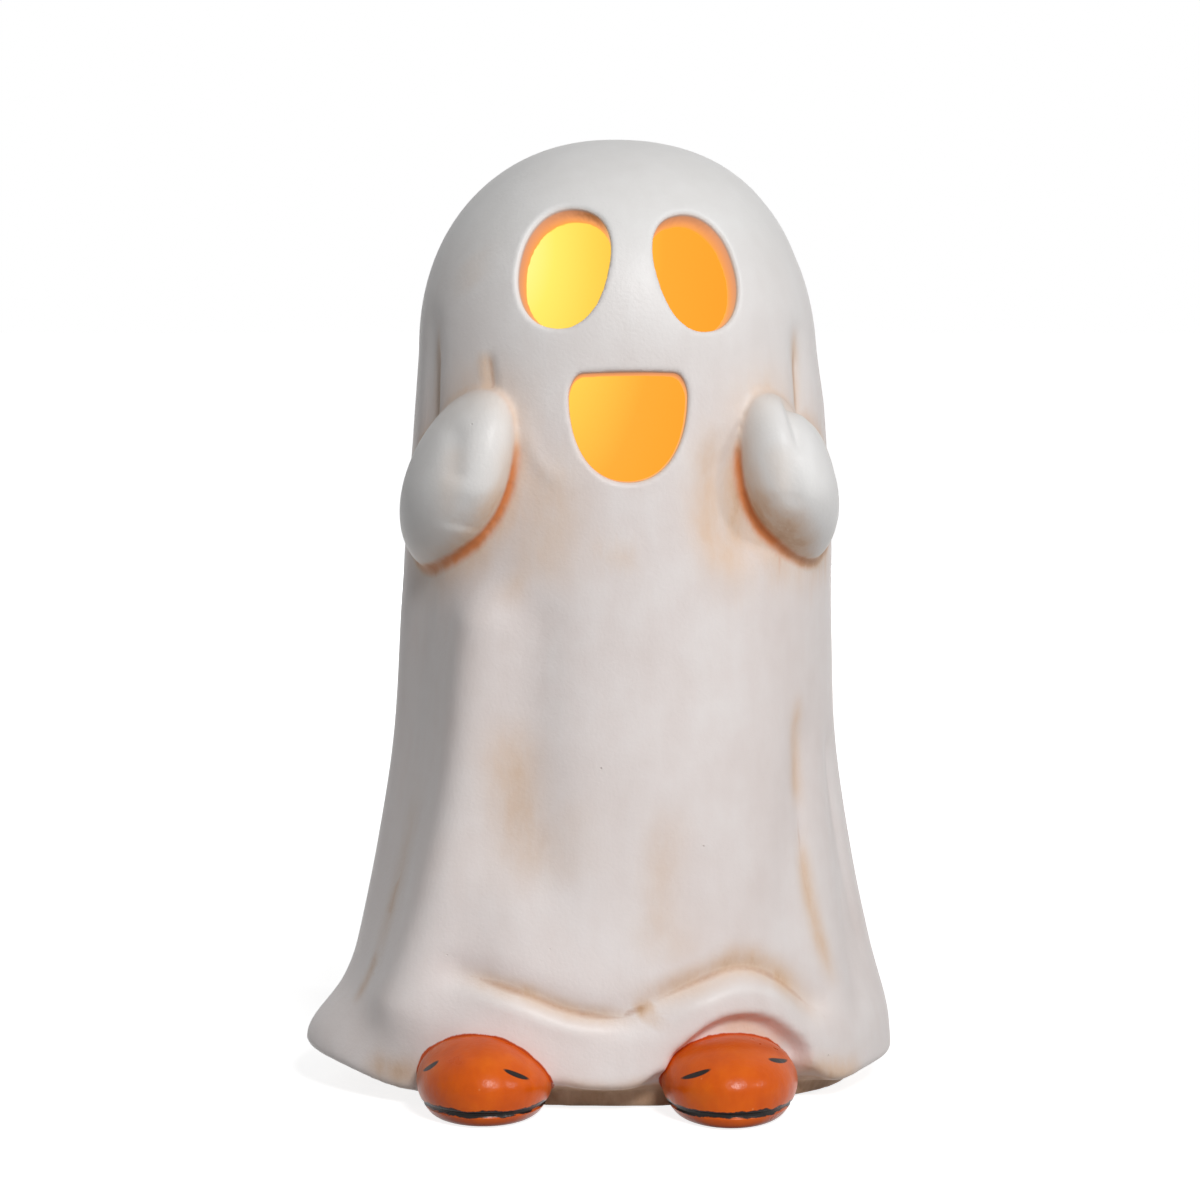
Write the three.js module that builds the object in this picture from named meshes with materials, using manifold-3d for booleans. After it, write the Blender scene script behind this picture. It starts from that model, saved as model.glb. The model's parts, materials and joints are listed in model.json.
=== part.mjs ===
// A light-up ghost figurine in painted cast ceramic. The ghost's sheet is one hollow casting with its
// eyes and mouth cut right through, and its raised hands and its shoes are luted on. A battery light
// unit is stuck into the base and glows inside. Millimetres, +Z up, and the ghost faces -Y.
import * as THREE from 'three';
import { mergeVertices } from 'three/addons/utils/BufferGeometryUtils.js';
import Module from 'manifold-3d';

const wasm = await Module();
wasm.setup();

// Sheet, as its half-width across and half-depth front to back at each height
const figureHeight = 180;
const crownRise = 40;
const templeHeight = figureHeight - crownRise;
const crownRoundness = 2.15;
const sectionSquareness = 2.12;
const hemHeight = 4.6;
const hemRoll = 1.8;
const foot = { halfWidth: 45.5, halfDepth: 34.5, flare: 0.8, step: 1.4 };
const hem = { height: hemHeight + hemRoll, halfWidth: 53.4, halfDepth: 41.5 };
const sheetStations = [
  hem,
  { height: 14, halfWidth: 52.6, halfDepth: 41.2 },
  { height: 26, halfWidth: 49.4, halfDepth: 40.2 },
  { height: 45, halfWidth: 45.4, halfDepth: 39.4 },
  { height: 66, halfWidth: 42.3, halfDepth: 38.8 },
  { height: templeHeight - 48, halfWidth: 41, halfDepth: 37.6 },
  { height: templeHeight - 22, halfWidth: 39.7, halfDepth: 36.4 },
  { height: templeHeight, halfWidth: 38.1, halfDepth: 35.8 },
];
const wall = 4.2;
const hemThickening = 9;
const hemThickeningTop = 38;
const clearance = 0.3;

// Left hem corner, which flares out and lifts off the ground
const corner = { bearing: -82, spread: 26, flare: 6.2, lift: 1.8, fade: 8.5 };

// Folds of the sheet as strokes on the skin: bearing in degrees from the front and height in mm.
// A positive depth is a valley and a negative one a ridge.
const foldRadius = 42;
const fullArc = Math.PI * 2 * foldRadius;
const frontFolds = [
  { path: [[-47, 92], [-49, 72], [-60, 38], [-62, 10]], depth: 1.5, width: 5 },
  { path: [[-31, 84], [-30, 60], [-38, 34]], depth: -0.9, width: 7 },
  { path: [[-20, 66], [-19, 36]], depth: 0.9, width: 6 },
  { path: [[57, 68], [48, 36], [53, 20]], depth: 1.4, width: 4 },
  { path: [[75, 64], [69, 18]], depth: 1.2, width: 4 },
  { path: [[-67, 144], [-64, 120]], depth: 1.1, width: 4 },
  { path: [[65, 142], [63, 122]], depth: 1.1, width: 4 },
];
const overShoes = [[-40, 27], [-25, 23.5], [-10, 19.5], [9, 20.5], [21, 25], [32, 28], [51, 21]];
const shoeFolds = [
  { path: overShoes, depth: 1.4, width: 3 },
  { path: [[-33, 15], [-29, 15]], depth: -1.6, width: 9 },
  { path: [[27, 17], [34, 17]], depth: -1.6, width: 9 },
];
const backFolds = [
  { path: [[-104, 78], [-106, 40], [-112, 12]], depth: 1.3, width: 6 },
  { path: [[-128, 70], [-130, 12]], depth: -1.1, width: 7 },
  { path: [[-152, 96], [-147, 48], [-150, 9]], depth: 1.7, width: 7 },
  { path: [[-172, 60], [-170, 12]], depth: -1.1, width: 7 },
  { path: [[168, 88], [172, 44], [168, 9]], depth: 1.6, width: 7 },
  { path: [[150, 70], [148, 12]], depth: -1.2, width: 7 },
  { path: [[128, 92], [124, 46], [129, 9]], depth: 1.6, width: 7 },
  { path: [[104, 70], [100, 36], [102, 12]], depth: 1.2, width: 6 },
];
const folds = [...frontFolds, ...shoeFolds, ...backFolds];
const belly = { bearing: 6, height: 62, bulge: 1.1, spread: 24 };

// Face, turned a little to the ghost's left
const faceBearing = 5;
const eye = { halfWidth: 8.9, halfHeight: 11.9, roundness: 2.3, belowTop: 23.8, bearing: 21.4 };
const leftEyeLean = -6;
const rightEyeLean = 9.5;
const mouth = { halfWidth: 11, height: 19.8, belowTop: 52.7, bearing: 3.8 };
const mouthCorner = { across: 2.6, down: 4.2 };
const mouthBow = { side: 8.9, chin: 7.5 };
const cutDraft = 0.14;
const cutReachIn = 9;
const cutReachOut = 7;

// Raised hands under the sheet, each an egg with its narrow end up
const hand = { halfWidth: 10.2, halfDepth: 13, halfLength: 19, narrowing: 0.05, belowTop: 63.2 };
const leftHand = { across: -28.9, forward: 26, lean: 16 };
const rightHand = { across: 31.8, forward: 25, lean: -12 };

// Shoes
const shoe = { halfWidth: 12.8, halfLength: 16, halfHeight: 9, centreHeight: 6, forward: 36.6 };
const shoeAcross = [-24.2, 21.4];

// Light unit: AAA cells side by side along X, over a door, in a box that reaches up into the figure
const undersideHeight = 1.2;
const cell = { radius: 5.25, length: 44.5, nubRadius: 1.9, nubLength: 0.9 };
const bayClearance = 0.35;
const springRoom = 3.3;
const contact = { thickness: 0.4, halfWidth: 4.4, halfHeight: 4.1, tailHalfWidth: 0.8 };
const springWire = { radius: 0.3, coilRadius: 2.9, tipRadius: 2.1, turns: 2.6, endGap: 0.05 };
const sideWall = 1.9;
const partition = 1.2;
const leftWall = 3.4;
const screwBoss = 6.4;
const ceiling = 1.5;
const boxCornerRadius = 3;
const boxClearance = 0.8;
const flange = { lengthMargin: 3.5, widthMargin: 3, cornerRadius: 6, thickness: 3 };
const recessClearance = 0.6;
const foamThickness = 1;
const foamInset = 0.4;

// Battery door, hooked in at its left edge and held by one screw
const doorThickness = 1.6;
const doorLap = { left: 0.5, right: 6, front: 0.9, back: 0.8 };
const doorGap = 0.35;
const hingeGap = 1.05;
const rebateClearance = 0.2;
const hook = { radius: 0.6, halfLength: 3, neckHalfLength: 2, neckHalf: 0.4, reach: 1.2, height: 1.2 };
const hookClearance = 0.3;
const doorScrew = { beyondBay: 3.2, headRadius: 2.1, headHeight: 0.8, shankRadius: 1.1, length: 4.3 };
const screwSlot = { halfWidth: 0.3, depth: 0.35 };
const screwInset = 0.1;
const screwClearance = 0.25;

// Slide switch, here in its ON place
const switchTravel = 3;
const knob = { halfLength: 2.2, halfWidth: 1.2, inset: 0.15 };
const knobClearance = 0.35;
const sliderFoot = { halfLength: 2.8, halfWidth: 2.1, thickness: 1.3 };
const switchBox = { halfLength: 6, halfWidth: 3.2, height: 4.2 };
const channel = { halfLength: 7.2, halfWidth: 3.7 };
const fingerWell = { halfLength: 8, halfWidth: 3.4, depth: 0.8 };
const wire = { radius: 0.5, pitch: 4.4, bow: 0.55, drift: 0.8, endGap: 0.1 };
const wireSlot = { halfLength: 4.5, halfWidth: 1.9 };

// Circuit board and lamp, under a screwed cover with a diffuser on top
const board = { halfWidth: 13.6, thickness: 1.6, beyondBay: 0.3 };
const standoff = { radius: 1.5, height: 1.3, across: 18, along: 9.5 };
const chip = { across: -11, along: 5, halfLength: 2.5, halfWidth: 2, height: 1.6 };
const resistor = { across: -11, along: -6, radius: 1.1, halfLength: 3.1 };
const capacitor = { across: 11, along: -5, radius: 2.5, height: 5.4 };
const lamp = { radius: 2.5, rimRadius: 2.9, rimHeight: 1, lensHeight: 8.6 };
const lampLeg = { length: 4, halfWidth: 0.25, pitch: 2.54 };
const cover = { wall: 1.2, lengthRoom: 0.4, widthRoom: 1.2, height: 12, cornerRadius: 3, lampHole: 4.2 };
const ear = { halfLength: 2.4, halfWidth: 3.4, thickness: 1.6, along: 11.5, lap: 0.1 };
const coverScrew = { headRadius: 1.6, headHeight: 1.2, shankRadius: 0.9, grip: 4 };
const diffuser = { radius: 15, height: 13.5, wall: 1.5, roundness: 2.4 };

// Heights and places that follow from the sizes above
const bayReach = cell.radius + bayClearance;
const bayHalfLength = (cell.length + springRoom) / 2 + contact.thickness + clearance;
const boxHalfWidth = sideWall + bayReach * 2 + partition + channel.halfWidth;
const boxHalfLength = bayHalfLength + (leftWall + screwBoss) / 2;
const bayLeft = leftWall - boxHalfLength;
const bayRight = boxHalfLength - screwBoss;
const frontBay = sideWall + bayReach - boxHalfWidth;
const backBay = frontBay + bayReach * 2 + partition;
const switchAcross = boxHalfWidth - sideWall - channel.halfWidth;
const doorTop = undersideHeight + doorThickness;
const cellHeight = doorTop + bayClearance + cell.radius;
const bayTop = cellHeight + bayReach;
const boxTop = bayTop + ceiling;
const flangeHalfLength = boxHalfLength + flange.lengthMargin;
const flangeHalfWidth = boxHalfWidth + flange.widthMargin;
const flangeTop = undersideHeight + flange.thickness;
const floorBottom = flangeTop + foamThickness;
const floorTop = floorBottom + wall;
const springLength = springRoom - (springWire.radius + springWire.endGap) * 2;
const doorLeft = bayLeft - doorLap.left;
const doorRight = bayRight + doorLap.right;
const doorFront = frontBay - bayReach - doorLap.front;
const doorBack = backBay + bayReach + doorLap.back;
const hookAxis = doorLeft - hook.reach;
const hookHeight = undersideHeight + hook.height;
const screwAcross = bayRight + doorScrew.beyondBay;
const screwAlong = (frontBay + backBay) / 2;
const screwBottom = undersideHeight + screwInset;
const screwHeadTop = screwBottom + doorScrew.headHeight;
const screwTop = screwBottom + doorScrew.length;
const switchTop = flangeTop + switchBox.height;
const sliderFootBottom = flangeTop + clearance;
const sliderFootTop = sliderFootBottom + sliderFoot.thickness;
const boardBottom = boxTop + standoff.height;
const boardTop = boardBottom + board.thickness;
const boardHalfLength = bayRight + board.beyondBay;
const coverHalfLength = boardHalfLength + cover.lengthRoom + cover.wall;
const coverHalfWidth = board.halfWidth + cover.widthRoom + cover.wall;
const coverTop = boxTop + cover.height;
const earMiddle = coverHalfLength + ear.halfLength - ear.lap;
const earTop = boxTop + ear.thickness;

// How finely the cast surfaces are drawn, and how far a cutter runs past what it cuts
const skinRings = 21;
const skinSegments = 60;
const crownRings = 8;
const cavityRings = 11;
const cavitySegments = 40;
const cavityCrownRings = 6;
const lowRingCrowding = 1.2;
const eyeOutlinePoints = 28;
const handRings = 12;
const handSegments = 18;
const shoeSegments = 20;
const shoeRings = 12;
const springStepsPerTurn = 9;
const past = 1;

// Surfaces
function paint(colour, roughness, metalness = 0) {
  return new THREE.MeshStandardMaterial({ color: colour, roughness, metalness });
}
const whiteGlaze = paint(0xd6d1ce, 0.45);
const orangePaint = paint(0xc8641f, 0.4);
const whitePlastic = paint(0xe4e2dc, 0.55);
const doorPlastic = paint(0xd9d7d0, 0.55);
const blackPlastic = paint(0x1c1c1e, 0.5);
const foam = paint(0xf0efec, 0.95);
const cellSleeve = paint(0x2e4f7d, 0.35);
const nickel = paint(0xb9bbbc, 0.3, 1);
const springSteel = paint(0x9c9ea0, 0.35, 1);
const boardGreen = paint(0x1f6b3a, 0.5);
const resin = paint(0xffd27a, 0.25);
const frosted = paint(0xf4efe2, 0.7);
const redWire = paint(0xb3261e, 0.5);
const componentBeige = paint(0xcbb489, 0.5);

// Solids
function solid(geometry) {
  const plain = geometry.clone();
  plain.deleteAttribute('normal');
  plain.deleteAttribute('uv');
  const merged = mergeVertices(plain, 1e-5);
  const mesh = new wasm.Mesh({
    numProp: 3,
    vertProperties: new Float32Array(merged.attributes.position.array),
    triVerts: new Uint32Array(merged.index.array),
  });
  return new wasm.Manifold(mesh);
}

function geometryOf(body) {
  const mesh = body.getMesh();
  const geometry = new THREE.BufferGeometry();
  geometry.setAttribute('position', new THREE.BufferAttribute(mesh.vertProperties, 3));
  geometry.setIndex(new THREE.BufferAttribute(mesh.triVerts, 1));
  geometry.computeVertexNormals();
  return geometry;
}

function joined(...geometries) {
  return geometries.map(solid).reduce((sum, next) => sum.add(next));
}

function roundedRectangle(halfX, halfY, radius) {
  const outline = new THREE.Shape();
  outline.absarc(halfX - radius, halfY - radius, radius, 0, Math.PI / 2);
  outline.absarc(radius - halfX, halfY - radius, radius, Math.PI / 2, Math.PI);
  outline.absarc(radius - halfX, radius - halfY, radius, Math.PI, Math.PI * 1.5);
  outline.absarc(halfX - radius, radius - halfY, radius, Math.PI * 1.5, Math.PI * 2);
  return outline;
}

function plate(halfX, halfY, radius, bottom, top) {
  const outline = roundedRectangle(halfX, halfY, radius);
  const depth = top - bottom;
  const options = { depth, bevelEnabled: false, curveSegments: 4 };
  return new THREE.ExtrudeGeometry(outline, options).translate(0, 0, bottom);
}

function block(left, right, front, back, bottom, top) {
  const size = new THREE.BoxGeometry(right - left, back - front, top - bottom);
  return size.translate((left + right) / 2, (front + back) / 2, (bottom + top) / 2);
}

function turned(profile, segments) {
  const points = profile.map(([radius, height]) => new THREE.Vector2(radius, height));
  return new THREE.LatheGeometry(points, segments).rotateX(Math.PI / 2);
}

function rod(radius, bottom, top, segments = 12) {
  return turned([[0, bottom], [radius, bottom], [radius, top], [0, top]], segments);
}

function radians(degrees) {
  return THREE.MathUtils.degToRad(degrees);
}

// Skin of the sheet
function stationValue(height, key) {
  const last = sheetStations.length - 1;
  let low = 0;
  while (low < last - 1 && height > sheetStations[low + 1].height) low += 1;
  const from = sheetStations[low];
  const to = sheetStations[low + 1];
  const before = sheetStations[Math.max(low - 1, 0)];
  const after = sheetStations[Math.min(low + 2, last)];
  const span = to.height - from.height;
  const share = THREE.MathUtils.clamp((height - from.height) / span, 0, 1);
  const startSlope = (to[key] - before[key]) / (to.height - before.height) * span;
  const endSlope = (after[key] - from[key]) / (after.height - from.height) * span;
  const cube = share ** 3;
  const square = share ** 2;
  return from[key] * (2 * cube - 3 * square + 1)
    + startSlope * (cube - 2 * square + share)
    + to[key] * (3 * square - 2 * cube)
    + endSlope * (cube - square);
}

function sheetHalves(height, inset) {
  const temple = sheetStations[sheetStations.length - 1];
  if (height <= temple.height) {
    return [stationValue(height, 'halfWidth') - inset, stationValue(height, 'halfDepth') - inset];
  }
  const rise = Math.min((height - temple.height) / (crownRise - inset), 1);
  const share = (1 - rise ** crownRoundness) ** (1 / crownRoundness);
  return [(temple.halfWidth - inset) * share, (temple.halfDepth - inset) * share];
}

function sectionRadius(bearing, halfWidth, halfDepth) {
  const across = Math.abs(Math.sin(bearing) / halfWidth) ** sectionSquareness;
  const along = Math.abs(Math.cos(bearing) / halfDepth) ** sectionSquareness;
  return (across + along) ** (-1 / sectionSquareness);
}

function distanceToPath(arc, height, path) {
  const point = new THREE.Vector3(arc, height, 0);
  const corners = path.map(([bearing, z]) => new THREE.Vector3(radians(bearing) * foldRadius, z, 0));
  let nearest = Infinity;
  for (let index = 1; index < corners.length; index += 1) {
    const stretch = new THREE.Line3(corners[index - 1], corners[index]);
    const closest = stretch.closestPointToPoint(point, true, new THREE.Vector3());
    nearest = Math.min(nearest, closest.distanceTo(point));
  }
  return nearest;
}

function foldOffset(bearing, height) {
  const arc = bearing * foldRadius;
  let offset = 0;
  for (const fold of folds) {
    const distance = Math.min(
      distanceToPath(arc, height, fold.path),
      distanceToPath(arc - fullArc, height, fold.path),
      distanceToPath(arc + fullArc, height, fold.path),
    );
    offset -= fold.depth * Math.exp(-((distance / fold.width) ** 2));
  }
  const fromBelly = Math.hypot(arc - radians(belly.bearing) * foldRadius, height - belly.height);
  return offset + belly.bulge * Math.exp(-((fromBelly / belly.spread) ** 2));
}

function cornerShare(bearing) {
  return Math.exp(-(((bearing - radians(corner.bearing)) / radians(corner.spread)) ** 2));
}

function skinPoint(bearing, height, inset) {
  const [halfWidth, halfDepth] = sheetHalves(height, inset);
  const aboveHem = Math.max(height - hem.height, 0);
  const cornerRise = cornerShare(bearing) * Math.exp(-((aboveHem / corner.fade) ** 2));
  const crownFade = Math.min(halfWidth / sheetHalves(templeHeight, inset)[0], 1);
  const offset = corner.flare * cornerRise + foldOffset(bearing, height) * crownFade;
  const radius = sectionRadius(bearing, halfWidth, halfDepth) + offset;
  const lifted = height + corner.lift * cornerRise;
  return new THREE.Vector3(radius * Math.sin(bearing), -radius * Math.cos(bearing), lifted);
}

// Closed surface through rings of points, each ring given by a function of the bearing
function ringed(rings, segments) {
  const profile = rings.map((ring, index) => new THREE.Vector2(1, index));
  profile[0].x = 0;
  profile[profile.length - 1].x = 0;
  const geometry = new THREE.LatheGeometry(profile, segments);
  const positions = geometry.attributes.position;
  for (let segment = 0; segment <= segments; segment += 1) {
    const turn = (segment % segments) / segments;
    const bearing = (turn * 2 - 1) * Math.PI;
    rings.forEach((ring, index) => {
      const point = ring(bearing);
      positions.setXYZ(segment * rings.length + index, point.x, point.y, point.z);
    });
  }
  return geometry;
}

function levelRing(halfWidth, halfDepth, height) {
  return (bearing) => {
    const radius = sectionRadius(bearing, halfWidth, halfDepth);
    return new THREE.Vector3(radius * Math.sin(bearing), -radius * Math.cos(bearing), height);
  };
}

function centrePoint(height) {
  return () => new THREE.Vector3(0, 0, height);
}

function skinRing(height, inset) {
  return (bearing) => skinPoint(bearing, height, inset);
}

function bodyHeights(bottom, count) {
  const heights = [];
  for (let step = 0; step <= count; step += 1) {
    heights.push(bottom + (templeHeight - bottom) * (step / count) ** lowRingCrowding);
  }
  return heights;
}

function crownHeights(inset, count) {
  const heights = [];
  for (let step = 1; step < count; step += 1) {
    const climb = Math.sin((step / count) * Math.PI / 2);
    heights.push(templeHeight + (crownRise - inset) * climb);
  }
  return heights;
}

function rimPoint(bearing, inset) {
  const edge = skinPoint(bearing, hem.height, inset);
  const inward = 1 - hemRoll / Math.hypot(edge.x, edge.y);
  return new THREE.Vector3(edge.x * inward, edge.y * inward, edge.z - hemRoll);
}

function sheetSolid(inset) {
  const footWidth = foot.halfWidth - inset;
  const footDepth = foot.halfDepth - inset;
  const rings = [
    centrePoint(inset),
    levelRing(footWidth, footDepth, inset),
    levelRing(footWidth + foot.flare, footDepth + foot.flare, hemHeight - foot.step),
    (bearing) => rimPoint(bearing, inset),
    ...bodyHeights(hem.height, skinRings).map((height) => skinRing(height, inset)),
    ...crownHeights(inset, crownRings).map((height) => skinRing(height, inset)),
    centrePoint(figureHeight - inset),
  ];
  return solid(ringed(rings, skinSegments));
}

// Hollow inside the sheet, drawn in towards the floor where the casting is thick
function cavityRing(height) {
  const [halfWidth, halfDepth] = sheetHalves(height, wall);
  const rise = THREE.MathUtils.smoothstep(height, floorTop, hemThickeningTop);
  const thickening = hemThickening * (1 - rise);
  return levelRing(halfWidth - thickening, halfDepth - thickening, height);
}

function cavitySolid() {
  const rings = [
    centrePoint(floorTop),
    ...bodyHeights(floorTop, cavityRings).map(cavityRing),
    ...crownHeights(wall, cavityCrownRings).map(cavityRing),
    centrePoint(figureHeight - wall),
  ];
  return solid(ringed(rings, cavitySegments));
}

// Eyes and mouth, cut square to the skin and a little wider outside than inside
function eyeOutline() {
  const points = [];
  for (let step = 0; step < eyeOutlinePoints; step += 1) {
    const turn = (step / eyeOutlinePoints) * Math.PI * 2;
    const reach = Math.abs(Math.cos(turn)) ** eye.roundness + Math.abs(Math.sin(turn)) ** eye.roundness;
    const radius = reach ** (-1 / eye.roundness);
    const across = eye.halfWidth * radius * Math.cos(turn);
    const up = eye.halfHeight * radius * Math.sin(turn);
    points.push(new THREE.Vector2(across, up));
  }
  return new THREE.Shape(points);
}

function mouthOutline() {
  const side = mouth.halfWidth;
  const top = mouth.height / 2;
  const shoulder = top - mouthCorner.down;
  const bow = shoulder - mouthBow.side;
  const outline = new THREE.Shape();
  outline.moveTo(mouthCorner.across - side, top);
  outline.quadraticCurveTo(-side, top, -side, shoulder);
  outline.bezierCurveTo(-side, bow, -mouthBow.chin, -top, 0, -top);
  outline.bezierCurveTo(mouthBow.chin, -top, side, bow, side, shoulder);
  outline.quadraticCurveTo(side, top, side - mouthCorner.across, top);
  return outline;
}

function faceCutter(outline, halfWidth, bearingDegrees, height, lean) {
  const depth = cutReachIn + cutReachOut;
  const options = { depth, bevelEnabled: false, curveSegments: 5 };
  const cutter = new THREE.ExtrudeGeometry(outline, options).translate(0, 0, -cutReachIn);
  const positions = cutter.attributes.position;
  for (let index = 0; index < positions.count; index += 1) {
    const spread = 1 + cutDraft * positions.getZ(index) / halfWidth;
    positions.setX(index, positions.getX(index) * spread);
    positions.setY(index, positions.getY(index) * spread);
  }
  const bearing = radians(bearingDegrees);
  const [wide, deep] = sheetHalves(height, 0);
  const slope = sheetHalves(height - 1, 0)[1] - sheetHalves(height + 1, 0)[1];
  const yaw = Math.atan(Math.tan(bearing) * (deep / wide) ** 2);
  cutter.rotateZ(radians(lean)).rotateX(Math.PI / 2).rotateX(-Math.atan(slope / 2)).rotateZ(yaw);
  const place = skinPoint(bearing, height, 0);
  return solid(cutter.translate(place.x, place.y, place.z));
}

function faceCutters() {
  const left = faceBearing - eye.bearing;
  const right = faceBearing + eye.bearing;
  const eyeHeight = figureHeight - eye.belowTop;
  const mouthHeight = figureHeight - mouth.belowTop;
  return [
    faceCutter(eyeOutline(), eye.halfWidth, left, eyeHeight, leftEyeLean),
    faceCutter(eyeOutline(), eye.halfWidth, right, eyeHeight, rightEyeLean),
    faceCutter(mouthOutline(), mouth.halfWidth, mouth.bearing, mouthHeight, 0),
  ];
}

function boxOpening(bottom, top) {
  const halfLength = boxHalfLength + boxClearance;
  const halfWidth = boxHalfWidth + boxClearance;
  return plate(halfLength, halfWidth, boxCornerRadius + boxClearance, bottom, top);
}

function flangeRecess() {
  return plate(
    flangeHalfLength + recessClearance,
    flangeHalfWidth + recessClearance,
    flange.cornerRadius + recessClearance,
    -past,
    floorBottom,
  );
}

function ghostShell() {
  const cuts = [
    cavitySolid(),
    ...faceCutters(),
    solid(flangeRecess()),
    solid(boxOpening(floorBottom - past, floorTop + past)),
  ];
  return geometryOf(cuts.reduce((rest, cut) => rest.subtract(cut), sheetSolid(0)));
}

// Hands and shoes, each hollowed to the skin that it is luted to
function handSolid({ across, forward, lean }) {
  const profile = [];
  for (let step = 0; step <= handRings; step += 1) {
    const climb = -Math.cos((step / handRings) * Math.PI);
    const girth = Math.sqrt(Math.max(1 - climb ** 2, 0)) * (1 - hand.narrowing * climb);
    profile.push([hand.halfWidth * girth, hand.halfLength * climb]);
  }
  const egg = turned(profile, handSegments).scale(1, hand.halfDepth / hand.halfWidth, 1);
  return solid(egg.rotateY(radians(lean)).translate(across, -forward, figureHeight - hand.belowTop));
}

function shoeSolid(across) {
  const ball = new THREE.SphereGeometry(1, shoeSegments, shoeRings).rotateX(Math.PI / 2);
  ball.scale(shoe.halfWidth, shoe.halfLength, shoe.halfHeight);
  const whole = solid(ball.translate(across, -shoe.forward, shoe.centreHeight));
  const reach = shoe.halfLength + past;
  const ground = block(-reach, reach, -reach, reach, -reach, 0).translate(across, -shoe.forward, 0);
  return whole.subtract(solid(ground));
}

// Plastic box and flange of the light unit
function drilled(radius, across, along, bottom, top) {
  return rod(radius, bottom, top).translate(across, along, 0);
}

function pair(make) {
  return [-1, 1].map(make);
}

function lightHousing() {
  const body = joined(
    plate(flangeHalfLength, flangeHalfWidth, flange.cornerRadius, undersideHeight, flangeTop),
    plate(boxHalfLength, boxHalfWidth, boxCornerRadius, undersideHeight, boxTop),
    ...standoffs(),
  );
  const screwHole = doorScrew.shankRadius + screwClearance;
  const coverHole = coverScrew.shankRadius + screwClearance;
  const coverScrewTip = boxTop - coverScrew.grip;
  const cuts = [
    doorRebate(),
    bay(frontBay),
    bay(backBay),
    bridgeNotch(),
    ...hookPocket(frontBay),
    ...hookPocket(backBay),
    tailSlot(frontBay),
    tailSlot(backBay),
    drilled(screwHole, screwAcross, screwAlong, undersideHeight, screwTop + clearance),
    ...switchRoom(),
    ...pair((side) => drilled(coverHole, side * earMiddle, ear.along, coverScrewTip, boxTop + past)),
  ];
  return geometryOf(cuts.reduce((rest, cut) => rest.subtract(solid(cut)), body));
}

function standoffs() {
  return pair((sideX) => pair((sideY) => rod(standoff.radius, boxTop - ceiling / 2, boardBottom, 8)
    .translate(sideX * standoff.across, sideY * standoff.along, 0))).flat();
}

function doorRebate() {
  const left = doorLeft - hingeGap;
  const right = doorRight + doorGap;
  return block(left, right, doorFront - doorGap, doorBack + doorGap, 0, doorTop + rebateClearance);
}

function bay(along) {
  return block(bayLeft, bayRight, along - bayReach, along + bayReach, undersideHeight, bayTop);
}

// Way through the partition for the plate that bridges the two bays
function bridgeNotch() {
  const end = bayLeft + contact.thickness + clearance;
  const top = cellHeight + contact.halfHeight + clearance;
  return block(bayLeft, end, frontBay, backBay, doorTop, top);
}

// Room for one door hook: a closed pocket for its round bead and an open notch for its neck
function hookPocket(along) {
  const reach = hook.radius + hookClearance;
  const bead = hook.halfLength + hookClearance;
  const neck = hook.neckHalfLength + hookClearance;
  const left = hookAxis - reach;
  return [
    block(left, doorLeft, along - bead, along + bead, hookHeight - reach, hookHeight + reach),
    block(left, doorLeft, along - neck, along + neck, 0, hookHeight + reach),
  ];
}

function tailSlot(along) {
  const reach = contact.tailHalfWidth + clearance;
  const left = bayRight - contact.thickness - clearance;
  return block(left, bayRight + clearance, along - reach, along + reach, bayTop - past, boxTop + past);
}

function switchOpening(halfLength, halfWidth, bottom, top) {
  return block(-halfLength, halfLength, switchAcross - halfWidth, switchAcross + halfWidth, bottom, top);
}

function switchRoom() {
  const slotLength = knob.halfLength + switchTravel / 2 + knobClearance;
  const slotWidth = knob.halfWidth + knobClearance;
  return [
    switchOpening(channel.halfLength, channel.halfWidth, flangeTop, bayTop),
    switchOpening(slotLength, slotWidth, 0, flangeTop + past),
    switchOpening(fingerWell.halfLength, fingerWell.halfWidth, 0, undersideHeight + fingerWell.depth),
    switchOpening(wireSlot.halfLength, wireSlot.halfWidth, bayTop - past, boxTop + past),
  ];
}

function foamSeal() {
  const halfLength = flangeHalfLength - foamInset;
  const halfWidth = flangeHalfWidth - foamInset;
  const rim = plate(halfLength, halfWidth, flange.cornerRadius - foamInset, flangeTop, floorBottom);
  return geometryOf(solid(rim).subtract(solid(boxOpening(flangeTop - past, floorBottom + past))));
}

// Battery door with its two hooks and the seat of its screw
function doorHook(along) {
  const neck = hook.neckHalfLength;
  const bottom = hookHeight - hook.neckHalf;
  const top = hookHeight + hook.neckHalf;
  return [
    rod(hook.radius, -hook.halfLength, hook.halfLength, 10).rotateX(Math.PI / 2)
      .translate(hookAxis, along, hookHeight),
    block(hookAxis, doorLeft + past, along - neck, along + neck, bottom, Math.min(top, doorTop)),
  ];
}

function batteryDoor() {
  const body = joined(
    block(doorLeft, doorRight, doorFront, doorBack, undersideHeight, doorTop),
    ...doorHook(frontBay),
    ...doorHook(backBay),
  );
  const seat = rod(doorScrew.headRadius + clearance, 0, screwHeadTop + screwInset, 20);
  const hole = rod(doorScrew.shankRadius + screwClearance, 0, doorTop + past);
  const cuts = [seat, hole].map((cut) => solid(cut.translate(screwAcross, screwAlong, 0)));
  return geometryOf(cuts.reduce((rest, cut) => rest.subtract(cut), body));
}

function doorScrewGeometry() {
  const head = rod(doorScrew.headRadius, screwBottom, screwHeadTop, 20);
  const shank = rod(doorScrew.shankRadius, screwHeadTop - screwSlot.depth, screwTop);
  const reach = doorScrew.headRadius + past;
  const slotTop = screwBottom + screwSlot.depth;
  const slot = block(-reach, reach, -screwSlot.halfWidth, screwSlot.halfWidth, 0, slotTop);
  return geometryOf(joined(head, shank).subtract(solid(slot)));
}

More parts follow.
